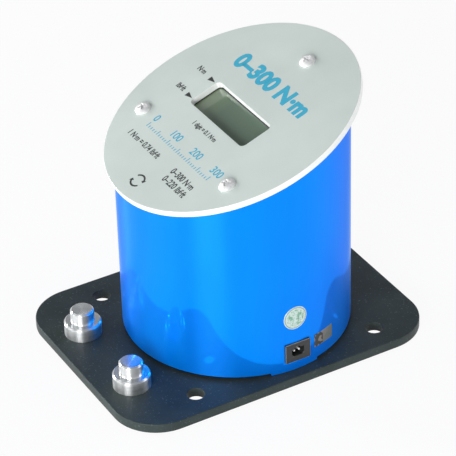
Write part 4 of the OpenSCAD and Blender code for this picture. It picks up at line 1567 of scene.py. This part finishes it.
@dataclass
class FacePrint:
    """The print on the face: units, ranges and plain scales."""

    layout: Layout
    marks: MarkTree
    figure_share: float = 0.69
    arrow_l: float = 6.0
    arrow_half: float = 1.7
    scale_x: float = -34.0
    scale_y: float = -38.6
    scale_l: float = 68.0
    mark_count: int = 31
    mark_every: int = 5
    mark_w: float = 0.6
    mark_h: float = 1.8
    mark_growth: float = 0.9
    number_y: float = -31.2
    turn_place: tuple[float, float] = (1.5, -65.5)
    turn_r: float = 4.2
    turn_line: float = 0.55
    turn_half: float = math.radians(58)
    turn_tip: float = 0.42
    UNITS = (
        Line("N·m", 3.6, -47.3, 9.0), Line("lbf·ft", 3.6, -45.4, -7.2),
        Line("0–300 N·m", 4.2, 22.5, -47.4), Line("0–220 lbf·ft", 4.2, 23.5, -53.8),
        Line("1 digit = 0.1 N·m", 3.0, -1.0, -18.0), Line("1 N·m = 0.74 lbf·ft", 3.8, -22.0, -47.5))
    ARROWS = ((-31.4, 8.2), (-31.4, -8.0))
    RANGE = Line("0–300 N·m", 10.4, -1.0, 29.0, 1.06, 0.8)

    def build(self) -> None:
        """Prints the face in black and in cyan."""
        black = Ink()
        cyan = Ink(name="print_cyan", colour=srgb(36, 168, 200))
        units = [self._letters(line) for line in self.UNITS] + [self._arrow(*tip) for tip in self.ARROWS]
        self._merge("print_units", black, units)
        self._merge("print_range", cyan, [self._letters(self.RANGE)])
        steps = 3
        self._merge("print_scale_numbers", cyan, [
            self._letters(Line(str(100 * k), 5.0, self.scale_x + self.scale_l * k / steps, self.number_y,
                               0.95, 0.08)) for k in range(steps + 1)])
        self._print_scale(cyan)
        self._print_turn_mark(black)

    def _letters(self, line: Line) -> bpy.types.Mesh:
        """Sets one line of print.

        Args:
            line: The line.

        Returns:
            A thin closed mesh on the face.
        """
        curve = bpy.data.curves.new("print", "FONT")
        curve.body = line.words
        curve.size = line.height / self.figure_share * MM
        curve.align_x = curve.align_y = "CENTER"
        curve.extrude = INK_T / 2 * MM
        curve.offset = line.weight * MM
        curve.resolution_u = 4
        mesh = baked(new_object("print", curve))
        mesh.transform(Matrix.Diagonal((line.width, 1, 1, 1)))
        mesh.transform(self.layout.face @ moved(line.x, line.y, INK_T / 2))
        return mesh

    @staticmethod
    def _merge(name: str, ink: Ink, meshes: Sequence[bpy.types.Mesh]) -> None:
        """Joins printed meshes into one piece of one ink."""
        place_piece(name, joined(name, meshes, PALETTE.get(ink)), Body.HEAD, ink)

    def _flat(self, outline: Loop) -> bpy.types.Mesh:
        """Makes a thin closed shape on the face.

        Args:
            outline: Its outline.

        Returns:
            Its mesh.
        """
        mesh = Slab(lambda inset: outline, [(0, INK_T), (0, 0)]).mesh("mark")
        mesh.transform(self.layout.face)
        return mesh

    def _arrow(self, x: float, y: float) -> bpy.types.Mesh:
        """Makes an arrowhead whose tip points at the window."""
        back, half = x - self.arrow_l, self.arrow_half
        return self._flat([Vector((x, y)), Vector((back, y + half)), Vector((back, y - half))])

    def _print_scale(self, ink: Ink) -> None:
        """Prints the graduated scale under the window.

        Args:
            ink: Its ink.
        """
        mesh = self.marks.run("print_scale", bpy.data.meshes.new("scale_start"), {
            "Count": self.mark_count, "Pitch": self.scale_l / (self.mark_count - 1) * MM,
            "Width": self.mark_w * MM, "Height": self.mark_h * MM, "Every": self.mark_every,
            "Growth": self.mark_growth, "Material": PALETTE.get(ink)})
        mesh.transform(self.layout.face @ moved(self.scale_x, self.scale_y, INK_T / 2))
        place_piece("print_scale", mesh, Body.HEAD, ink)

    def _print_turn_mark(self, ink: Ink) -> None:
        """Prints an open ring with two arrowheads: the sense of turning.

        Args:
            ink: Its ink.
        """
        steps, radius, line = 24, self.turn_r, self.turn_line
        for name, side in (("print_turn_upper", 1), ("print_turn_lower", -1)):
            first = side * math.pi / 2 - self.turn_half
            angles = [first + 2 * self.turn_half * k / steps for k in range(steps + 1)]
            ring = [polar(self.turn_place, radius + line, a) for a in angles]
            ring += [polar(self.turn_place, radius - line, a) for a in reversed(angles)]
            head = [(radius, first - self.turn_tip), (radius + 3 * line, first), (radius - 3 * line, first)]
            self._merge(name, ink, [
                self._flat(ring), self._flat([polar(self.turn_place, reach, a) for reach, a in head])])


@dataclass
class Display:
    """The display behind the window: glass and the dark gasket round it."""

    layout: Layout
    face: FacePlate
    gasket_t: float = 0.3
    glass_t: float = 2.8
    glass_edge: float = 0.1
    glass_corner: float = 0.4
    margin: float = 3.5
    lip: float = 0.5

    def build(self) -> None:
        """Builds the gasket and the glass."""
        lay, face = self.layout, self.face
        middle = (face.window_x, 0)
        size = (face.window_w + 2 * self.margin, face.window_h + 2 * self.margin)
        flat = [(0, 0), (0, -self.gasket_t)]
        mesh = Slab(rectangle_outline(*size, face.window_r, middle, 6), flat,
                    [(face.window(6, self.lip), flat)]).mesh("display_gasket")
        mesh.transform(lay.face @ moved(0, 0, -lay.face_t))
        place_piece("display_gasket", mesh, Body.HEAD, GASKET_RUBBER, ["window_gasket"])
        pane = Slab(rectangle_outline(*size, self.glass_corner, middle, 3),
                    edge_section(self.glass_t, self.glass_edge, 2)).mesh("display_pane")
        depth = lay.face_t + self.gasket_t
        pane.transform(lay.face @ moved(0, 0, -depth))
        centre = lay.face @ moved(face.window_x, 0, -depth)
        crystal = Crystal(middle=tuple(centre.translation), tilt=lay.face_tilt,
                          half_width=face.window_w / 2 * MM)
        place_piece("display_pane", pane, Body.HEAD, crystal, ["display_glass"])


@dataclass
class Inlet:
    """The charging inlet: a moulded bezel with a keyed opening and two pins."""

    layout: Layout
    turning: TurningTree
    copies: CopyTree
    front: float = 68.3
    depth: float = 7.0
    bezel_w: float = 16.5
    bezel_h: float = 12.8
    bezel_t: float = 1.5
    bezel_r: float = 0.9
    bezel_edge: float = 0.3
    # Width of the bezel's rim that gets the painted highlight.
    highlight_rim: float = 0.4
    body_w: float = 12.0
    body_h: float = 8.0
    body_r: float = 0.4
    back: float = 9.0
    plug_w: float = 8.0
    plug_h: float = 5.3
    plug_corner: float = 1.3
    plug_edge: float = 0.15
    key_w: float = 2.4
    key_h: float = 0.9
    corner: float = 0.25
    overlap: float = 0.01
    clearance: float = 0.5
    pin_span: float = 3.3
    pin_r: float = 0.65
    pin_nose: float = -1.5
    pin_tail: float = -12.0

    def build(self) -> None:
        """Builds the body and its pins."""
        lay = self.layout
        w, h, c, k = self.plug_w / 2, self.plug_h / 2, self.plug_corner, self.key_w / 2
        top = h + self.key_h
        outline = [(c - w, -h), (w - c, -h), (w, c - h), (w, h), (k, h), (k, top), (-k, top), (-k, h),
                   (-w, h), (-w, c - h)]

        def opening(inset: float) -> Loop:
            """Gives the keyed opening with softly rounded corners."""
            wide, high = 1 - inset / w, 1 - inset / h
            return softened([(x * wide, y * high, self.corner) for x, y in outline], 2, closed=True)

        edge = self.plug_edge
        bezel = Slab(
            rectangle_outline(self.bezel_w, self.bezel_h, self.bezel_r, steps=5, follow=0.5),
            edge_section(self.bezel_t, self.bezel_edge),
            [(opening, [(-edge, 0), (0, -edge), (0, -self.bezel_t)])])
        body = Slab(rectangle_outline(self.body_w, self.body_h, self.body_r, steps=2),
                    [(0, self.overlap - self.bezel_t), (0, -self.back)])
        well = Slab(opening, [(0, self.clearance - self.bezel_t), (0, self.clearance - self.depth)])
        black = PALETTE.get(BLACK_PLASTIC)
        cutter = well.mesh("inlet_well")
        block = carve(body.mesh("inlet_block"), cutter, black)
        facing = Matrix(((0, 0, 1, 0), (1, 0, 0, 0), (0, 1, 0, 0), (0, 0, 0, 1)))
        place = lay.axis @ moved(self.front, lay.inlet_shift, lay.inlet_z) @ facing
        mesh = joined("inlet", [bezel.mesh("bezel"), block], black)
        # Painted highlight: the rounded rim faces of the bezel take the lighter grey plastic.
        mesh.materials.append(PALETTE.get(EDGE_HIGHLIGHT_PLASTIC))
        flat_w, flat_h = ((size / 2 - self.highlight_rim) * MM for size in (self.bezel_w, self.bezel_h))
        steep, flat = 0.2, 0.97
        for face in mesh.polygons:
            on_rim = abs(face.center.x) > flat_w or abs(face.center.y) > flat_h
            face.material_index = int(on_rim and steep < face.normal.z < flat)
        mesh.transform(place)
        place_piece("inlet", mesh, Body.HEAD, BLACK_PLASTIC, ["inlet_body"])
        self._build_pins(place)

    def _build_pins(self, place: Matrix) -> None:
        """Builds the two round-nosed contact pins.

        Args:
            place: Where the inlet's front is.
        """
        metal = PALETTE.get(BRIGHT_SCREW)
        profile = softened([(0, self.pin_tail, 0), (self.pin_r, self.pin_tail, 0),
                            (self.pin_r, self.pin_nose, 0.5), (0, self.pin_nose, 0)], 5)
        pin = self.turning.turn("pin", profile, metal, 32)
        places = [(side * self.pin_span / 2, 0, 0) for side in (-1, 1)]
        mesh = self.copies.place("pins", pin, places, metal)
        mesh.transform(place)
        place_piece("pins", mesh, Body.HEAD, BRIGHT_SCREW, ["inlet_pins"])


@dataclass
class Labels:
    """The two labels on the tube: thin skins that follow its curve."""

    layout: Layout
    thickness: float = 0.2
    edge: float = 0.06
    cuts: int = 14
    seal_r: float = 7.5
    seal_z: float = 42.4
    tag_w: float = 15.4
    tag_h: float = 8.8
    tag_r: float = 0.5
    tag_angle: float = math.radians(17.9)
    tag_z: float = 20.0

    def build(self) -> None:
        """Builds both labels."""
        seal = RoundLabel(middle=self._middle(0.0, self.seal_z), radius=self.seal_r)
        mesh = self._wrapped(round_outline((0, 0), self.seal_r, 72), 0.0, self.seal_z)
        place_piece("seal", mesh, Body.HEAD, seal, ["seal_label"])
        tag = FoilLabel(middle=self._middle(self.tag_angle, self.tag_z))
        outline = rectangle_outline(self.tag_w, self.tag_h, self.tag_r, steps=4)
        mesh = self._wrapped(outline, self.tag_angle, self.tag_z)
        place_piece("tag", mesh, Body.HEAD, tag, ["tag_label"])

    def _middle(self, angle: float, height: float) -> tuple[float, ...]:
        """Gives a label's middle on the tube in metres."""
        flat = polar((0, self.layout.axis_y), self.layout.tube_r, angle)
        return tuple(Vector((*flat, height)) * MM)

    def _wrapped(self, outline: Outline, angle: float, height: float) -> bpy.types.Mesh:
        """Wraps a thin shape round the tube.

        Args:
            outline: Its flat outline.
            angle: Where its middle lies round the tube.
            height: The height of its middle.

        Returns:
            The wrapped mesh.
        """
        thick, edge = self.thickness, self.edge
        mesh = Slab(outline, [(edge, thick), (0, thick - edge), (0, 0)]).mesh("label")
        r = self.layout.tube_r * MM
        with editing(mesh) as work:
            reach = max(abs(v.co.x) for v in work.verts)
            for k in range(1, self.cuts):
                place = reach * (2 * k / self.cuts - 1)
                bmesh.ops.bisect_plane(work, geom=work.verts[:] + work.edges[:] + work.faces[:],
                                       plane_co=(place, 0, 0), plane_no=(1, 0, 0))
            for vert in work.verts:
                across, up, out = vert.co
                turn = angle + across / r
                vert.co = ((r + out) * math.cos(turn), (r + out) * math.sin(turn), up + height * MM)
        mesh.transform(self.layout.axis)
        tidy(mesh)
        return mesh


@dataclass
class Underside:
    """The screws that show in the countersinks of the plate's underside."""

    plate: BasePlate
    turning: TurningTree
    copies: CopyTree
    thread_r: float = 3.0
    head_r: float = 6.0
    hex_r: float = 2.7
    hex_start: float = 0.5
    hex_depth: float = 3.0
    length: float = 12.3
    chamfer: float = 0.5

    def build(self) -> None:
        """Builds one countersunk screw and places its copies."""
        metal = PALETTE.get(ZINC_STEEL)
        shell = self._screw_mesh(metal)
        for group, flat in zip(("sleeve", "stud"), self.plate.screw_places()):
            name, places = group + "_fasteners", [(p.x, p.y, 0) for p in flat]
            mesh = self.copies.place(name, shell.copy(), places, metal, spin=math.tau)
            place_piece(name, mesh, Body.BASE, ZINC_STEEL, [group + "_screws"])

    def _screw_mesh(self, metal: bpy.types.Material) -> bpy.types.Mesh:
        """Builds one countersunk screw with a hexagon socket, its head at z = 0.

        Args:
            metal: What it is made of.

        Returns:
            Its mesh.
        """
        thread, head, socket = self.thread_r, self.head_r, self.hex_r
        end, cut = self.length, self.chamfer
        profile = softened([
            (0, end, 0), (thread - cut, end, 0), (thread, end - cut, 0), (thread, head - thread, 0.3),
            (head, 0.1, 0.12), (socket + 0.4, 0.0, 0.1), (socket + 0.1, 0.2, 0)], 3)
        shell = self.turning.turn("countersunk", profile, metal, 48)
        side = math.pi / 6
        with editing(shell) as work:
            for vert in self._drawn(work):
                angle = math.atan2(vert.co.y, vert.co.x)
                reach = socket * math.cos(side) / math.cos(math.remainder(angle, 2 * side))
                vert.co = Vector((reach * math.cos(angle), reach * math.sin(angle), self.hex_start)) * MM
            for vert in self._drawn(work):
                vert.co.z = self.hex_depth * MM
            bmesh.ops.holes_fill(work, edges=[e for e in work.edges if e.is_boundary], sides=0)
        tidy(shell)
        return shell

    @staticmethod
    def _drawn(work: bmesh.types.BMesh) -> list[bmesh.types.BMVert]:
        """Draws the open edge out into one more row of faces.

        Args:
            work: The mesh.

        Returns:
            The new row's points, still in the old row's place.
        """
        rim = [e for e in work.edges if e.is_boundary]
        drawn = bmesh.ops.extrude_edge_only(work, edges=rim)
        return [v for v in drawn["geom"] if isinstance(v, bmesh.types.BMVert)]


class InnerFinishes:
    """Dresses the frame's own nodes that keep their shape."""

    FINISHES = {finish.slot: finish for finish in (
        CoatedPlate(), ZINC_STEEL, BRIGHT_SCREW, GASKET_RUBBER, BLACK_PLASTIC, CircuitBoard(),
        WorkedMetal("turned_steel", srgb(205, 207, 208), 0.26, 700.0, ROUND_AXIS),
        WorkedMetal("black_steel", srgb(52, 53, 55), 0.38, 700.0),
        WorkedMetal("machined_aluminium", srgb(188, 191, 194), 0.3, 600.0, ROUND_AXIS),
        WorkedMetal("bronze", srgb(176, 132, 72), 0.34, 800.0, ROUND_AXIS),
        WorkedMetal("gauge_foil", srgb(202, 138, 62), 0.4, 1200.0),
        WorkedMetal("brass_spacer", srgb(200, 172, 98), 0.28, 700.0),
        Moulded("red_wire", srgb(168, 26, 24), 0.4, 900.0, 0.02),
        Moulded("white_plastic", srgb(228, 228, 220), 0.45, 900.0, 0.02),
        Moulded("chip_black", srgb(28, 28, 30), 0.5, 1400.0, 0.02),
        Moulded("cream_plastic", srgb(222, 216, 198), 0.45, 900.0, 0.02),
        Moulded("ribbon_grey", srgb(158, 160, 164), 0.5, 500.0, 0.1),
        Moulded("cell_wrap", srgb(30, 110, 62), 0.3, 300.0, 0.05))}

    def build(self, frame: dict) -> None:
        """Gives every node of the frame that is still shown its finish.
        """
        slots = {entry["node"]: entry["material_slot"] for entry in frame["record"]["subparts"]}
        for name, node in frame["nodes"].items():
            if node.hide_render:
                continue
            finish = self.FINISHES[slots[name]]
            material = PALETTE.get(finish)
            for slot in node.material_slots:
                slot.material = material
            LOG.info("%s keeps its shape in %s", name, finish.slot)


@dataclass(frozen=True)
class SoftBox:
    """A soft rectangular lamp: its angle in degrees round the object, then metres and watts."""

    name: str
    angle: float
    distance: float
    rise: float
    width: float
    height: float
    power: float
    aim_z: float = 0.07

    def build(self) -> None:
        """Adds the lamp and turns it towards the object."""
        data = bpy.data.lights.new(self.name, "AREA")
        data.shape = "RECTANGLE"
        data.size, data.size_y, data.energy = self.width, self.height, self.power
        lamp = new_object(self.name, data)
        lamp.location = (*polar((0, 0), self.distance, math.radians(self.angle)), self.rise)
        aim = Vector((0, 0, self.aim_z)) - lamp.location
        lamp.rotation_euler = aim.to_track_quat("-Z", "Y").to_euler()


@dataclass
class Studio:
    """Pale floor, soft lamps and the camera at the photograph's angle."""

    layout: Layout
    azimuth: float = math.radians(60.77)
    elevation: float = math.radians(33.71)
    roll: float = math.radians(-1.686)
    distance: float = 1475.8
    lens: float = 201.25
    side: float = -3.57
    aim_z: float = 65.35
    sensor: float = 36.0
    view_depth: float = 20.0
    floor_half: float = 4000.0
    opening_inset: float = 1.5
    opening_r: float = 26.0
    floor_drop: float = 0.05
    glow: float = 0.92
    daylight: float = 0.3
    SWEEP = ((0.0, (1.0, 1.0, 1.0)), (0.12, (1.0, 1.0, 1.0)),
             (0.4, (0.34, 0.35, 0.36)), (1.0, (0.28, 0.29, 0.30)))
    LAMPS = (
        SoftBox("front", -52, 1.7, 0.4, 0.8, 0.7, 27.0), SoftBox("right", 67, 1.7, 0.5, 1.4, 1.0, 13.0),
        SoftBox("fill", -98, 1.7, 0.36, 1.1, 0.7, 9.0), SoftBox("left", -143, 1.6, 0.36, 0.2, 0.7, 14.0),
        SoftBox("behind", 151, 0.9, 1.5, 0.7, 0.5, 1.6))

    def build(self) -> None:
        """Builds the camera, the floor, the world and the lamps."""
        self._camera()
        self._floor()
        self._world()
        for lamp in self.LAMPS:
            lamp.build()

    def _camera(self) -> None:
        """Places the camera by its angles about the housing."""
        azimuth, level = self.azimuth, math.cos(self.elevation)
        away = Vector((math.sin(azimuth) * level, -math.cos(azimuth) * level, math.sin(self.elevation)))
        right = (-away).cross(Vector((0, 0, 1))).normalized()
        up = right.cross(-away)
        across = math.cos(self.roll) * right + math.sin(self.roll) * up
        upright = math.cos(self.roll) * up - math.sin(self.roll) * right
        aim = Vector((0, self.layout.axis_y, self.aim_z)) + right * self.side
        data = bpy.data.cameras.new("camera")
        data.lens, data.sensor_width, data.sensor_fit = self.lens, self.sensor, "HORIZONTAL"
        data.clip_end = self.view_depth
        camera = new_object("camera", data)
        turn = Matrix((across, upright, away)).transposed().to_4x4()
        camera.matrix_world = moved(*(aim + away * self.distance)) @ turn
        bpy.context.scene.camera = camera

    def _floor(self) -> None:
        """Makes a pale floor that shows white, keeps the object's shadow and leaves the underside open."""
        lay, half, inset = self.layout, self.floor_half, self.opening_inset
        rim = [(i * half, j * half) for i, j in ((1, 1), (-1, 1), (-1, -1), (1, -1))]
        opening = rounded_rectangle(
            (0, 0), lay.plate_w - 2 * inset, lay.plate_l - 2 * inset, self.opening_r)
        loops = [[Vector((*p, 0)) for p in loop] for loop in (rim, opening)]
        mesh = new_mesh("floor", loops[0] + loops[1], tessellate_polygon(loops))
        mesh.transform(moved(0, 0, -self.floor_drop))
        kit = ShaderKit("floor")
        colour = kit.mix(kit.noise(3.0) * 0.2, (0.86, 0.86, 0.86), (0.82, 0.83, 0.83))
        cloth = kit.add("ShaderNodeBsdfDiffuse", {}, {"Color": colour})
        glow = kit.add("ShaderNodeEmission", {}, {"Color": (1, 1, 1, 1), "Strength": 1.0})
        mixed = kit.blend(self._seen(kit) * self.glow, cloth.outputs[0], glow.outputs[0])
        mesh.materials.append(kit.surface(mixed))
        new_object("floor", mesh)

    @staticmethod
    def _seen(kit: NodeKit) -> Term:
        """Gives 1 for rays that show the background to the camera, gloss or glass.


        Returns:
            The share.
        """
        path = kit.add("ShaderNodeLightPath")
        both = kit.math("MAXIMUM", kit.term(path, "Is Camera Ray"), kit.term(path, "Is Glossy Ray"))
        return kit.math("MAXIMUM", both, kit.term(path, "Is Transmission Ray"))

    def _world(self) -> None:
        """Makes a white world with a softer light of its own."""
        world = bpy.data.worlds.new("studio")
        world.use_nodes = True
        world.node_tree.nodes.clear()
        bpy.context.scene.world = world
        kit = NodeKit(world.node_tree)
        soft = kit.add("ShaderNodeBackground", {}, {
            "Color": (0.95, 0.97, 1.0, 1), "Strength": self.daylight})
        view = kit.term(kit.add("ShaderNodeTexCoord"), "Generated")
        sweep = kit.add("ShaderNodeValToRGB", {"stops": self.SWEEP}, {"Fac": kit.part(view, "Z")})
        white = kit.add("ShaderNodeBackground", {}, {"Color": sweep.outputs[0], "Strength": 1.0})
        mixed = kit.blend(self._seen(kit), soft.outputs[0], white.outputs[0])
        kit.add("ShaderNodeOutputWorld", {}, {"Surface": mixed})


def corners(bounds: tuple[Vector, Vector]) -> list[list[float]]:
    """Turns a box into plain lists of numbers."""
    return [list(map(float, corner)) for corner in bounds]


def main() -> None:
    """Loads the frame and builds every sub-assembly in order."""
    logging.basicConfig(level=logging.INFO, format="%(name)s: %(message)s")
    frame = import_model()
    layout, turning, copies = Layout(), TurningTree(), CopyTree()
    Studio(layout).build()
    plate = BasePlate(layout)
    plate.build()
    StudPair(layout, turning).build()
    Housing(layout, turning).build()
    face = FacePlate(layout, turning, copies)
    face.build()
    FacePrint(layout, MarkTree()).build()
    Display(layout, face).build()
    Inlet(layout, turning, copies).build()
    Labels(layout).build()
    Underside(plate, turning, copies).build()
    InnerFinishes().build(frame)
    bpy.context.scene.view_settings.view_transform = "Standard"


if __name__ == "__main__":
    main()
